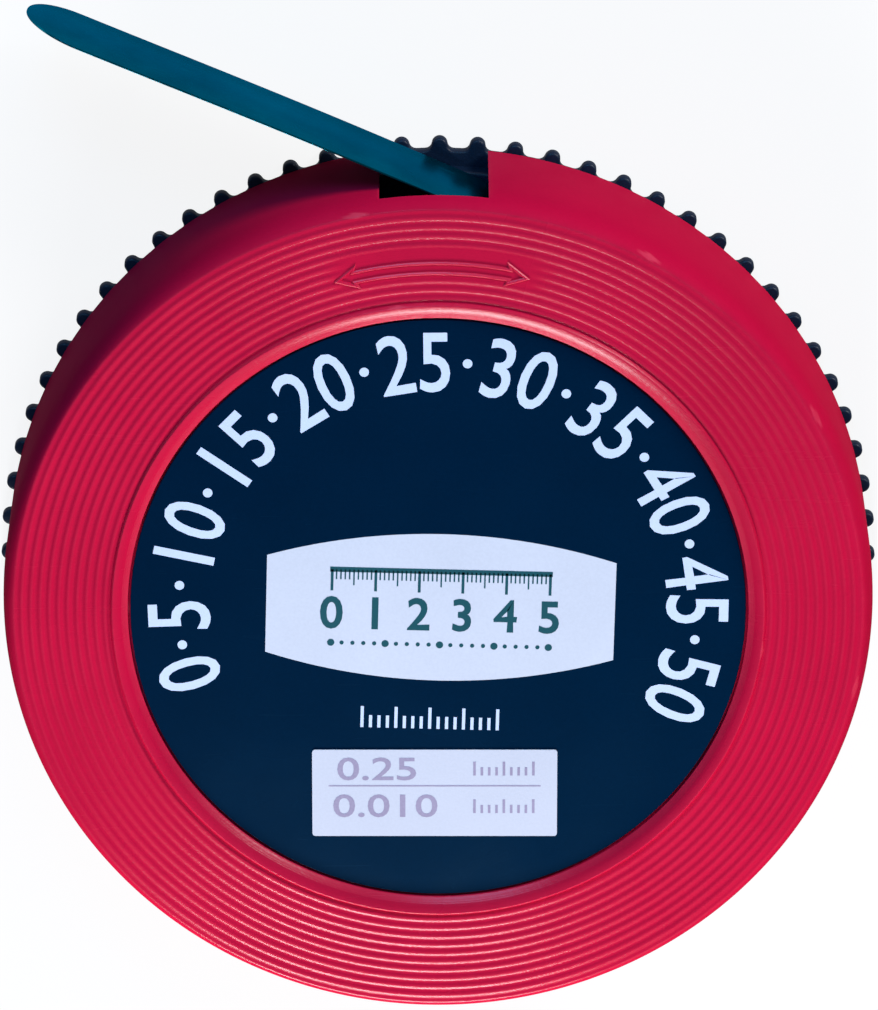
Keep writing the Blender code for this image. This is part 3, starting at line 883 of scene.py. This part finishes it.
class TAPE_ROLL_OT_arrow(bpy.types.Operator):
    """Builds the raised outline of the double arrow on the ring's smooth patch"""

    bl_idname = "tape_roll.arrow"
    bl_label = "Moulded Arrow"

    def execute(self, context):
        sizes = settings("housing")
        right = arrow_outline(sizes)
        outline = right + [(-x, y) for x, y in reversed(right[1:-1])]
        curve = bpy.data.curves.new("arrow", "CURVE")
        curve.dimensions = "2D"
        curve.fill_mode = "NONE"
        curve.bevel_depth = sizes.arrow_line / 2
        curve.bevel_resolution = 3
        spline = curve.splines.new("POLY")
        spline.points.add(len(outline) - 1)
        for point, (x, y) in zip(spline.points, outline):
            point.co = (x, y, 0.0, 1.0)
        spline.use_cyclic_u = True
        drawn = link_object("arrow", curve)
        shape = bmesh.new()
        shape.from_mesh(evaluated_mesh(drawn))
        bpy.data.objects.remove(drawn, do_unlink=True)
        for vert in shape.verts:
            radius = sizes.arrow_radius + vert.co.y
            turn = sizes.arrow_turn - vert.co.x / sizes.arrow_radius
            lift = ring_height(sizes, radius) + sizes.arrow_rise - sizes.arrow_line / 2
            vert.co = (radius * math.cos(turn), radius * math.sin(turn), lift + vert.co.z)
        close_up(shape)
        dress(new_object("moulded_arrow", shape), glossy_red(sizes), "housing")
        return {"FINISHED"}


# Winding wheel

def bump_outline(sizes):
    """Outline of one bump and half the valley on each of its sides, for the rim's plate."""
    pitch = FULL_TURN / sizes.bump_count
    rim = HOUSING_RADIUS - sizes.rim_inset
    centre = WHEEL_HIGH.x - sizes.bump_radius
    reach = rim + sizes.valley_round
    gap = sizes.bump_radius + sizes.valley_round
    turn = math.acos((reach ** 2 + centre ** 2 - gap ** 2) / (2 * reach * centre))
    hollow = (reach * math.cos(turn), reach * math.sin(turn))
    to_bump = math.atan2(-hollow[1], centre - hollow[0])
    upper = arc((centre, 0.0), sizes.bump_radius, 0.0, to_bump + math.pi, sizes.bump_points)
    upper += arc(hollow, sizes.valley_round, to_bump, turn - math.pi, sizes.valley_points)[1:]
    upper.append((rim * math.cos(pitch / 2), rim * math.sin(pitch / 2)))
    return [(x, -y) for x, y in reversed(upper[1:])] + upper


def rim_plate(sizes):
    """Rim of the wheel: one bump's outline, copied round, filled and thickened."""
    shape = bmesh.new()
    polyline(shape, [(x, y, 0.0) for x, y in bump_outline(sizes)])
    others = sizes.bump_count - 1
    spin(shape, shape.verts[:] + shape.edges[:], FULL_TURN * others / sizes.bump_count, others,
         use_duplicate=True)
    bmesh.ops.remove_doubles(shape, verts=shape.verts, dist=MERGE_DISTANCE)
    bmesh.ops.contextual_create(shape, geom=shape.edges[:])
    thicken(shape, sizes.rim_thickness)
    rims = [edge for edge in shape.edges if abs(edge.verts[0].co.z - edge.verts[1].co.z) < MERGE_DISTANCE]
    round_off(shape, rims, sizes.rim_round, 3)
    bmesh.ops.rotate(shape, verts=shape.verts, matrix=Matrix.Rotation(sizes.bump_turn, 3, "Z"))
    bmesh.ops.recalc_face_normals(shape, faces=shape.faces)
    return shape


def wheel_section(sizes):
    """Section of the floor, the drum and the snap post."""
    top = WHEEL_HIGH.z
    low = sizes.rim_thickness / 2
    floor = sizes.floor_height
    drum = COIL_INNER_RADIUS - sizes.drum_gap
    bead = sizes.post_radius + sizes.bead_height
    bead_high = top - sizes.bead_below_top
    bead_low = bead_high - sizes.bead_length
    return [
        (0.0, floor),
        (sizes.post_bore, floor, sizes.floor_round),
        (sizes.post_bore, top, sizes.post_round),
        (sizes.post_radius, top, sizes.post_lead),
        (sizes.post_radius, bead_high),
        (bead, bead_high - sizes.bead_height),
        (bead, bead_low + sizes.bead_height),
        (sizes.post_radius, bead_low),
        (sizes.post_radius, floor, sizes.foot_fillet),
        (drum - sizes.drum_wall, floor, sizes.foot_fillet),
        (drum - sizes.drum_wall, top, sizes.drum_round),
        (drum, top, sizes.drum_round),
        (drum, floor, sizes.drum_round),
        (sizes.floor_radius, floor, sizes.floor_round),
        (sizes.floor_radius, low),
        (0.0, low),
    ]


class TAPE_ROLL_OT_wheel(bpy.types.Operator):
    """Builds the black winding wheel with its knurled rim, drum and snap post"""

    bl_idname = "tape_roll.wheel"
    bl_label = "Winding Wheel"

    def execute(self, context):
        sizes = settings("wheel")
        item = new_object("wheel_shell", rim_plate(sizes))
        drum = turned_body(wheel_section(sizes), sizes.steps)
        combine(item, new_object("wheel_drum", drum), "UNION")
        material = kept_material(black_plastic, "black_satin_plastic", sizes.colour)
        dress(item, material, "wheel", ("winding_wheel",))
        return {"FINISHED"}


# Tape

def lay_uv(shape, place):
    """Writes a UV map in metres from a function of a point and its face's centre."""
    layer = shape.loops.layers.uv.new("UVMap")
    for face in shape.faces:
        centre = face.calc_center_median()
        for loop in face.loops:
            loop[layer].uv = place(loop.vert.co, centre)


def wound_place(point, centre):
    """Length along the turn and height of a point of the coil."""
    middle = math.atan2(centre.y, centre.x)
    turn = math.atan2(point.y, point.x)
    turn += FULL_TURN * round((middle - turn) / FULL_TURN)
    return (turn * centre.xy.length, point.z)


def finish_tape(name, shape, sizes, body, node):
    """Makes a steel piece that rides on a body and stands for a node."""
    bmesh.ops.recalc_face_normals(shape, faces=shape.faces)
    material = kept_material(blued_steel, "blue_tempered_steel", sizes.colour, sizes.deep_colour)
    dress(new_object(name, shape), material, body, (node,))


class TAPE_ROLL_OT_coil(bpy.types.Operator):
    """Winds the tape round the drum, turn on turn, and lifts the outer turn to the window"""

    bl_idname = "tape_roll.coil"
    bl_label = "Wound Tape"

    def execute(self, context):
        sizes = settings("tape")
        pitch = sizes.thickness
        half = (pitch - sizes.turn_gap) / 2
        outer = COIL_HIGH.x - pitch / 2
        turns = (outer - pitch / 2 - COIL_INNER_RADIUS) / pitch
        total = int(turns * sizes.steps)
        step_turn = FULL_TURN / sizes.steps
        end_turn = math.atan2(TAPE_NORMAL.y, TAPE_NORMAL.x)
        ease_steps = sizes.ease / step_turn

        def radius(step):
            left = total - step
            lift = max(0.0, 1.0 - left / ease_steps) ** 2
            return outer - pitch * left / sizes.steps + lift * (TAPE_LINE_RADIUS - outer)

        shape = bmesh.new()
        near, far = radius(0) - half, radius(0) + half
        low, high = COIL_LOW.z, COIL_HIGH.z
        section(shape, [(near, high), (far, high), (far, low), (near, low)], closed=True)
        start = Matrix.Rotation(end_turn - total * step_turn, 4, "Z")
        bmesh.ops.transform(shape, matrix=start, verts=shape.verts)
        front = shape.edges[:]
        for step in range(total):
            made = spin(shape, front, step_turn, 1, use_merge=False, use_duplicate=False)["geom_last"]
            front = [part for part in made if isinstance(part, bmesh.types.BMEdge)]
            verts = [part for part in made if isinstance(part, bmesh.types.BMVert)]
            growth = radius(step + 1) / radius(step)
            bmesh.ops.scale(shape, vec=(growth, growth, 1.0), verts=verts)
        ends = [edge for edge in shape.edges if edge.is_boundary]
        bmesh.ops.holes_fill(shape, edges=ends, sides=4)
        lay_uv(shape, wound_place)
        finish_tape("coil_turns", shape, sizes, "wheel", "tape_coil")
        return {"FINISHED"}


class TAPE_ROLL_OT_tape(bpy.types.Operator):
    """Builds the straight end of the tape, out through the window to its round tip"""

    bl_idname = "tape_roll.tape"
    bl_label = "Tape End"

    tip_share = 0.4995
    tip_merge = 0.02 * MM
    cut_tolerance = 0.0001 * MM

    def execute(self, context):
        sizes = settings("tape")
        width = TAPE_HIGH.z - TAPE_LOW.z
        reach = (TAPE_FOOT.x - TAPE_LOW.x - sizes.thickness / 2 * TAPE_NORMAL.x) / abs(TAPE_DIRECTION.x)
        shape = bmesh.new()
        corners = [(0.0, 0.0), (reach, 0.0), (reach, width), (0.0, width)]
        verts = [shape.verts.new((x, y, 0.0)) for x, y in corners]
        shape.faces.new(verts)
        round_off(shape, verts[1:3], width * self.tip_share, sizes.tip_points, "VERTICES")
        bmesh.ops.remove_doubles(shape, verts=shape.verts, dist=self.tip_merge)
        for number in range(1, sizes.slices):
            cut = (reach - width / 2) * number / sizes.slices
            bmesh.ops.bisect_plane(
                shape, geom=shape.verts[:] + shape.edges[:] + shape.faces[:], dist=self.cut_tolerance,
                plane_co=(cut, 0.0, 0.0), plane_no=(1.0, 0.0, 0.0),
            )
        thicken(shape, sizes.thickness)
        outline = [edge for edge in shape.edges if edge.calc_face_angle(0.0) > 1.0]
        round_off(shape, outline, sizes.edge_round, 2)
        lay_uv(shape, lambda point, centre: (point.x, point.y))
        for vert in shape.verts:
            share = vert.co.x / reach
            vert.co.z += sizes.bow * math.sin(math.pi * share) ** 2 - sizes.thickness / 2
        frame_turn = Matrix((TAPE_DIRECTION, Vector((0.0, 0.0, 1.0)), TAPE_NORMAL)).transposed().to_4x4()
        foot = Matrix.Translation(TAPE_FOOT + Vector((0.0, 0.0, TAPE_LOW.z)))
        bmesh.ops.transform(shape, matrix=foot @ frame_turn, verts=shape.verts)
        finish_tape("tape_strip", shape, sizes, "tape", "tape_end")
        return {"FINISHED"}


# Label and print

class TAPE_ROLL_OT_label(bpy.types.Operator):
    """Builds the round label, which lies on the seat of the housing's pocket"""

    bl_idname = "tape_roll.label"
    bl_label = "Label"

    def execute(self, context):
        sizes = settings("label")
        seat = LABEL_LOW.z - settings("housing").pocket_gap
        outline = [
            (0.0, LABEL_HIGH.z),
            (LABEL_RADIUS, LABEL_HIGH.z, sizes.edge_round),
            (LABEL_RADIUS, seat),
            (0.0, seat),
        ]
        item = new_object("label_face", turned_body(outline, sizes.steps))
        material = kept_material(printed, "navy_label_film", sizes.label_colour, roughness=0.26,
                                 drift=0.12, sheen=0.16, tint=sizes.label_tint)
        dress(item, material, "housing", ("label_disc",))
        return {"FINISHED"}


def embolden(mesh, amount):
    """Moves the sides of extruded characters outwards, each side by the same amount."""
    shape = bmesh.new()
    shape.from_mesh(mesh)
    close_up(shape)
    shape.normal_update()
    shifts = []
    for vert in shape.verts:
        sides = [face.normal.copy() for face in vert.link_faces if abs(face.normal.z) < 0.5]
        across = sum(sides, Vector()) / max(1, len(sides))
        shifts.append(across * amount / max(0.5, across.length_squared))
    for vert, shift in zip(shape.verts, shifts):
        vert.co += shift
    shape.to_mesh(mesh)
    shape.free()


class Ink:
    """Printed marks that are gathered in one bmesh, at x and y of a place."""

    def __init__(self, place):
        self.shape = bmesh.new()
        self.place = place
        self.depth = 2 * settings("label").print_rise

    def bar(self, x, y, width, height):
        """Adds a bar with its middle at x and y."""
        middle = Vector((x, y, 0.0))
        half = Vector((width, height, self.depth)) / 2
        block(self.shape, middle - half, middle + half, self.place)

    def dot(self, x, y, radius):
        """Adds a round dot."""
        bmesh.ops.create_cone(
            self.shape, cap_ends=True, segments=24, radius1=radius, radius2=radius, depth=self.depth,
            matrix=self.place @ Matrix.Translation((x, y, 0.0)),
        )

    def text(self, characters, x, y, height, widen, bold):
        """Adds characters of a height with their middle at x and y, wider and bolder as told."""
        curve = bpy.data.curves.new("print", "FONT")
        curve.body = characters
        curve.size = height / DIGIT_HEIGHT
        curve.align_x = "CENTER"
        curve.extrude = self.depth / 2
        curve.resolution_u = 4
        item = link_object("print", curve)
        mesh = evaluated_mesh(item)
        embolden(mesh, bold)
        widened = Matrix.Diagonal((widen, 1.0, 1.0, 1.0)) @ Matrix.Translation((0.0, -height / 2, 0.0))
        mesh.transform(self.place @ Matrix.Translation((x, y, 0.0)) @ widened)
        self.shape.from_mesh(mesh)
        bpy.data.objects.remove(item, do_unlink=True)
        bpy.data.curves.remove(curve)
        bpy.data.meshes.remove(mesh)

    def ticks(self, number, pitch, x, y, kinds):
        """Adds a row of graduations up from y; a kind is how often it comes, its height and width."""
        for step in range(number):
            tall, wide = next((tall, wide) for every, tall, wide in kinds if step % every == 0)
            self.bar(x + step * pitch, y + tall / 2, wide, abs(tall))


def print_place(sizes, right=0.0, up=0.0):
    """Place on the label's face, turned a little as the print is."""
    origin = Matrix.Translation((0.0, sizes.print_up, LABEL_HIGH.z))
    return origin @ Matrix.Rotation(sizes.print_turn, 4, "Z") @ Matrix.Translation((right, up, 0.0))


def finish_print(name, shape, material, replaced=()):
    """Makes a printed piece that rides on the housing."""
    bmesh.ops.remove_doubles(shape, verts=shape.verts, dist=PRINT_MERGE_DISTANCE)
    bmesh.ops.recalc_face_normals(shape, faces=shape.faces)
    dress(new_object(name, shape), material, "housing", replaced)


class TAPE_ROLL_OT_arc_numbers(bpy.types.Operator):
    """Prints a row of plain numbers with dots between them round the label"""

    bl_idname = "tape_roll.arc_numbers"
    bl_label = "Arc Numbers"

    def execute(self, context):
        sizes = settings("label")
        face = print_place(sizes)
        ink = Ink(face)
        marks = ".".join(str(number * sizes.number_step) for number in range(sizes.numbers))
        shares = [sizes.dot_share if mark == "." else 1.0 for mark in marks]
        passed = 0.0
        for mark, share in zip(marks, shares):
            at = sizes.arc_start + (sizes.arc_end - sizes.arc_start) * (passed + share / 2) / sum(shares)
            passed += share
            spot = Vector((math.cos(at), math.sin(at), 0.0)) * sizes.arc_radius
            ink.place = face @ Matrix.Translation(spot) @ Matrix.Rotation(at - math.pi / 2, 4, "Z")
            if mark == ".":
                ink.dot(0.0, 0.0, sizes.dot_radius)
            else:
                ink.text(mark, 0.0, 0.0, sizes.arc_height, sizes.arc_narrow, sizes.arc_bold)
        material = kept_material(printed, "pale_ink", sizes.ink_colour)
        finish_print("arc_numbers", ink.shape, material)
        return {"FINISHED"}


class TAPE_ROLL_OT_panel(bpy.types.Operator):
    """Prints the pale barrel-shaped panel with a plain rule on it"""

    bl_idname = "tape_roll.panel"
    bl_label = "Rule Panel"

    divisions = 50
    division = 0.5 * MM
    rule_y = 4.4 * MM
    rule_bar = 0.6 * MM
    graduations = ((10, -2.6 * MM, 0.32 * MM), (5, -1.9 * MM, 0.17 * MM), (1, -1.2 * MM, 0.17 * MM))
    number_y = -0.9 * MM
    number_height = 3.7 * MM
    number_bold = 0.11 * MM
    dots = 21
    dot_pitch = 1.25 * MM
    dot_y = -4.6 * MM
    large_dot = 0.42 * MM
    small_dot = 0.24 * MM

    def execute(self, context):
        sizes = settings("label")
        depth = 2 * sizes.print_rise
        half = sizes.panel_width / 2
        side = sizes.panel_side / 2
        bulge = sizes.panel_height / 2 - side
        radius = (half * half + bulge * bulge) / (2 * bulge)
        opening = math.asin(half / radius)
        top = arc((0.0, side + bulge - radius), radius, math.pi / 2 - opening, math.pi / 2 + opening, 32)
        outline = top + [(-x, -y) for x, y in top]
        place = print_place(sizes, sizes.panel_right, -sizes.panel_down)
        shape = bmesh.new()
        shape.faces.new([shape.verts.new((x, y, -depth / 2)) for x, y in outline])
        thicken(shape, depth)
        bmesh.ops.transform(shape, matrix=place, verts=shape.verts)
        pale = kept_material(printed, "panel_ink", sizes.panel_colour)
        finish_print("rule_panel", shape, pale)
        self.print_rule(sizes, place @ Matrix.Translation((0.0, 0.0, sizes.print_rise)))
        return {"FINISHED"}

    def print_rule(self, sizes, place):
        """Prints the rule's bar, its graduations and numbers, and the row of dots."""
        rule = Ink(place)
        rule_length = self.divisions * self.division
        start = -rule_length / 2
        rule.bar(0.0, self.rule_y, rule_length + self.division, self.rule_bar)
        rule.ticks(self.divisions + 1, self.division, start, self.rule_y, self.graduations)
        every = self.graduations[0][0]
        for number in range(self.divisions // every + 1):
            x = start + number * every * self.division
            rule.text(str(number), x, self.number_y, self.number_height, 1.0, self.number_bold)
        for number in range(self.dots):
            x = (number - self.dots // 2) * self.dot_pitch
            rule.dot(x, self.dot_y, self.large_dot if number % 5 == 0 else self.small_dot)
        teal = kept_material(printed, "teal_ink", sizes.teal_colour, drift=0.08)
        finish_print("rule_marks", rule.shape, teal)


class TAPE_ROLL_OT_small_row(bpy.types.Operator):
    """Prints the small row of graduations under the panel"""

    bl_idname = "tape_roll.small_row"
    bl_label = "Small Row"

    gaps = 16
    graduations = ((4, 2.6 * MM, 0.36 * MM), (1, 1.5 * MM, 0.36 * MM))

    def execute(self, context):
        sizes = settings("label")
        ink = Ink(print_place(sizes, -sizes.row_left, -sizes.row_y))
        tallest = self.graduations[0][1]
        ink.ticks(self.gaps + 1, sizes.row_width / self.gaps, -sizes.row_width / 2, -tallest / 2,
                  self.graduations)
        material = kept_material(printed, "pale_ink", sizes.ink_colour)
        finish_print("small_row", ink.shape, material)
        return {"FINISHED"}


class TAPE_ROLL_OT_sticker(bpy.types.Operator):
    """Builds the paper sticker on the label, with two plain thicknesses printed on it"""

    bl_idname = "tape_roll.sticker"
    bl_label = "Sticker"

    sunk = 0.01 * MM
    line_y = 0.9 * MM
    line_length = 24.5 * MM
    line_width = 0.14 * MM
    thicknesses = (("0.25", -6.6 * MM, 3.0 * MM), ("0.010", -5.7 * MM, -1.6 * MM))
    number_height = 2.7 * MM
    number_widen = 1.4
    number_bold = 0.03 * MM
    row_x = 4.6 * MM
    row_heights = (2.2 * MM, -2.5 * MM)
    marks = 9
    mark_pitch = 0.85 * MM
    graduations = ((4, 1.7 * MM, 0.3 * MM), (1, 1.0 * MM, 0.3 * MM))

    def execute(self, context):
        sizes = settings("label")
        low = Vector((STICKER_LOW.x, STICKER_LOW.y, LABEL_HIGH.z - self.sunk))
        high = Vector((STICKER_HIGH.x, STICKER_HIGH.y, LABEL_HIGH.z + sizes.sticker_thickness))
        shape = bmesh.new()
        block(shape, low, high)
        upright = [edge for edge in shape.edges if edge.verts[0].co.xy == edge.verts[1].co.xy]
        round_off(shape, upright, sizes.sticker_round, 4)
        paper = kept_material(printed, "sticker_paper", sizes.paper_colour, roughness=0.6, drift=0.05,
                              grain_depth=0.02 * MM)
        finish_print("sticker_sheet", shape, paper, ("thickness_sticker",))
        middle = (low + high) / 2
        ink = Ink(Matrix.Translation((middle.x, middle.y, high.z)))
        ink.bar(0.0, self.line_y, self.line_length, self.line_width)
        for text, x, y in self.thicknesses:
            ink.text(text, x, y, self.number_height, self.number_widen, self.number_bold)
        for y in self.row_heights:
            ink.ticks(self.marks, self.mark_pitch, self.row_x, y, self.graduations)
        grey = kept_material(printed, "grey_ink", sizes.grey_colour, roughness=0.6, drift=0.15)
        finish_print("sticker_marks", ink.shape, grey)
        return {"FINISHED"}


# Stage

def area_lamp(name, watts, turn, height, distance, width, length, rgb=WHITE):
    """Adds a lamp that shines on the object's middle from a turn, a height and a distance."""
    lamp = bpy.data.lights.new(name, "AREA")
    lamp.shape = "RECTANGLE"
    lamp.size = width
    lamp.size_y = length
    lamp.energy = watts
    lamp.color = rgb
    away = Vector((math.cos(turn) * math.cos(height), math.sin(turn) * math.cos(height), math.sin(height)))
    item = link_object(name, lamp)
    item.location = Vector((0.0, 0.0, HOUSING_HIGH.z / 2)) + away * distance
    item.rotation_mode = "QUATERNION"
    item.rotation_quaternion = away.to_track_quat("Z", "Y")


def seen_share(tree, camera, mirror):
    """Share of plain white for camera rays, and for glossy and transmission rays."""
    rays = tree.nodes.new("ShaderNodeLightPath")
    gloss = maths(tree, "MAXIMUM", rays.outputs["Is Glossy Ray"], rays.outputs["Is Transmission Ray"])
    seen = maths(tree, "MULTIPLY", rays.outputs["Is Camera Ray"], camera)
    return maths(tree, "MAXIMUM", seen, maths(tree, "MULTIPLY", gloss, mirror))


def light_the_world(sizes):
    """Cool light, strongest overhead; camera and reflections see a white backdrop and a dim ceiling."""
    world = bpy.data.worlds.new("pale_room")
    world.use_nodes = True
    tree = world.node_tree
    tree.nodes.clear()
    output = tree.nodes.new("ShaderNodeOutputWorld")
    place = tree.nodes.new("ShaderNodeTexCoord")
    height = add(tree, "ShaderNodeSeparateXYZ", {0: place.outputs["Generated"]}).outputs["Z"]
    backdrop = remap(tree, height, low=0.18, high=0.40, to_low=1.0, to_high=sizes.ceiling_level)
    sky = remap(tree, height, low=0.3, high=1.0, to_low=0.05, to_high=2.3)
    plain = add(tree, "ShaderNodeBackground", {"Color": opaque(sizes.world_colour), "Strength": sky})
    white = add(tree, "ShaderNodeBackground", {"Color": opaque(WHITE), "Strength": backdrop})
    mixed = add(tree, "ShaderNodeMixShader", {
        0: seen_share(tree, 1.0, 1.0), 1: plain.outputs[0], 2: white.outputs[0],
    })
    connect(tree, mixed.outputs[0], output.inputs["Surface"])
    bpy.context.scene.world = world


def floor_material(sizes):
    """Pale floor that keeps a soft shadow and looks white to the camera."""
    material, tree, shader, output = new_material("pale_floor")
    rays = tree.nodes.new("ShaderNodeLightPath")
    seen = blend(tree, rays.outputs["Is Camera Ray"], opaque(sizes.bounce_colour),
                 opaque(sizes.floor_colour))
    connect(tree, seen, shader.inputs["Base Color"])
    shader.inputs["Roughness"].default_value = 0.9
    shader.inputs["Specular IOR Level"].default_value = 0.0
    glow = add(tree, "ShaderNodeEmission", {"Color": opaque(WHITE), "Strength": 1.0})
    share = seen_share(tree, sizes.floor_glow, sizes.floor_mirror)
    mixed = add(tree, "ShaderNodeMixShader", {0: share, 1: shader.outputs[0], 2: glow.outputs[0]})
    connect(tree, mixed.outputs[0], output.inputs["Surface"])
    return material


class TAPE_ROLL_OT_stage(bpy.types.Operator):
    """Sets up the pale floor, the lamps and the camera"""

    bl_idname = "tape_roll.stage"
    bl_label = "Stage"

    def execute(self, context):
        sizes = settings("stage")
        shape = bmesh.new()
        bmesh.ops.create_circle(shape, cap_ends=True, segments=96, radius=sizes.floor_radius)
        floor = new_object("floor", shape)
        floor.data.materials.append(floor_material(sizes))
        light_the_world(sizes)
        area_lamp("near_lamp", sizes.near_power, sizes.near_turn, sizes.near_height,
                  distance=0.5, width=0.24, length=0.14)
        area_lamp("side_lamp", sizes.side_power, sizes.side_turn, sizes.side_height,
                  distance=0.9, width=0.25, length=0.25)
        area_lamp("back_lamp", sizes.back_power, sizes.back_turn, sizes.back_height,
                  distance=0.5, width=0.2, length=0.15, rgb=sizes.back_colour)
        camera = bpy.data.cameras.new("camera")
        camera.sensor_width = 36.0
        camera.lens = sizes.lens
        camera.clip_start = 0.01
        camera.clip_end = 20.0
        item = link_object("camera", camera)
        back = Vector((0.0, math.sin(sizes.tilt), math.cos(sizes.tilt)))
        item.location = Vector(sizes.aim) + back * sizes.distance
        item.rotation_euler = (-sizes.tilt, 0.0, 0.0)
        context.scene.camera = item
        context.scene.view_settings.view_transform = "Standard"
        return {"FINISHED"}


OPERATORS = (
    TAPE_ROLL_OT_housing,
    TAPE_ROLL_OT_arrow,
    TAPE_ROLL_OT_wheel,
    TAPE_ROLL_OT_coil,
    TAPE_ROLL_OT_tape,
    TAPE_ROLL_OT_label,
    TAPE_ROLL_OT_arc_numbers,
    TAPE_ROLL_OT_panel,
    TAPE_ROLL_OT_small_row,
    TAPE_ROLL_OT_sticker,
    TAPE_ROLL_OT_stage,
)

SETTINGS = {
    "housing": HousingSettings,
    "wheel": WheelSettings,
    "tape": TapeSettings,
    "label": LabelSettings,
    "stage": StageSettings,
}


class TAPE_ROLL_PT_panel(bpy.types.Panel):
    """Lists the pieces of the tape roll, each with its settings"""

    bl_idname = "TAPE_ROLL_PT_panel"
    bl_label = "Tape Roll"
    bl_space_type = "VIEW_3D"
    bl_region_type = "UI"
    bl_category = "Tape Roll"

    def draw(self, context):
        layout = self.layout
        for operator in OPERATORS:
            layout.operator(operator.bl_idname)
        for kind, group in SETTINGS.items():
            box = layout.box()
            box.label(text=kind.capitalize())
            for name in group.__annotations__:
                box.prop(settings(kind), name)


def register():
    """Registers the settings, the operators and the panel."""
    for kind, group in SETTINGS.items():
        bpy.utils.register_class(group)
        setattr(bpy.types.Scene, "tape_roll_" + kind, bpy.props.PointerProperty(type=group))
    for item in (*OPERATORS, TAPE_ROLL_PT_panel):
        bpy.utils.register_class(item)


def unregister():
    """Takes back what register did."""
    for item in (TAPE_ROLL_PT_panel, *reversed(OPERATORS)):
        bpy.utils.unregister_class(item)
    for kind, group in SETTINGS.items():
        delattr(bpy.types.Scene, "tape_roll_" + kind)
        bpy.utils.unregister_class(group)


def main():
    """Builds every piece and the stage."""
    register()
    bpy.ops.tape_roll.housing()
    bpy.ops.tape_roll.arrow()
    bpy.ops.tape_roll.wheel()
    bpy.ops.tape_roll.coil()
    bpy.ops.tape_roll.tape()
    bpy.ops.tape_roll.label()
    bpy.ops.tape_roll.arc_numbers()
    bpy.ops.tape_roll.panel()
    bpy.ops.tape_roll.small_row()
    bpy.ops.tape_roll.sticker()
    bpy.ops.tape_roll.stage()


if __name__ == "__main__":
    main()
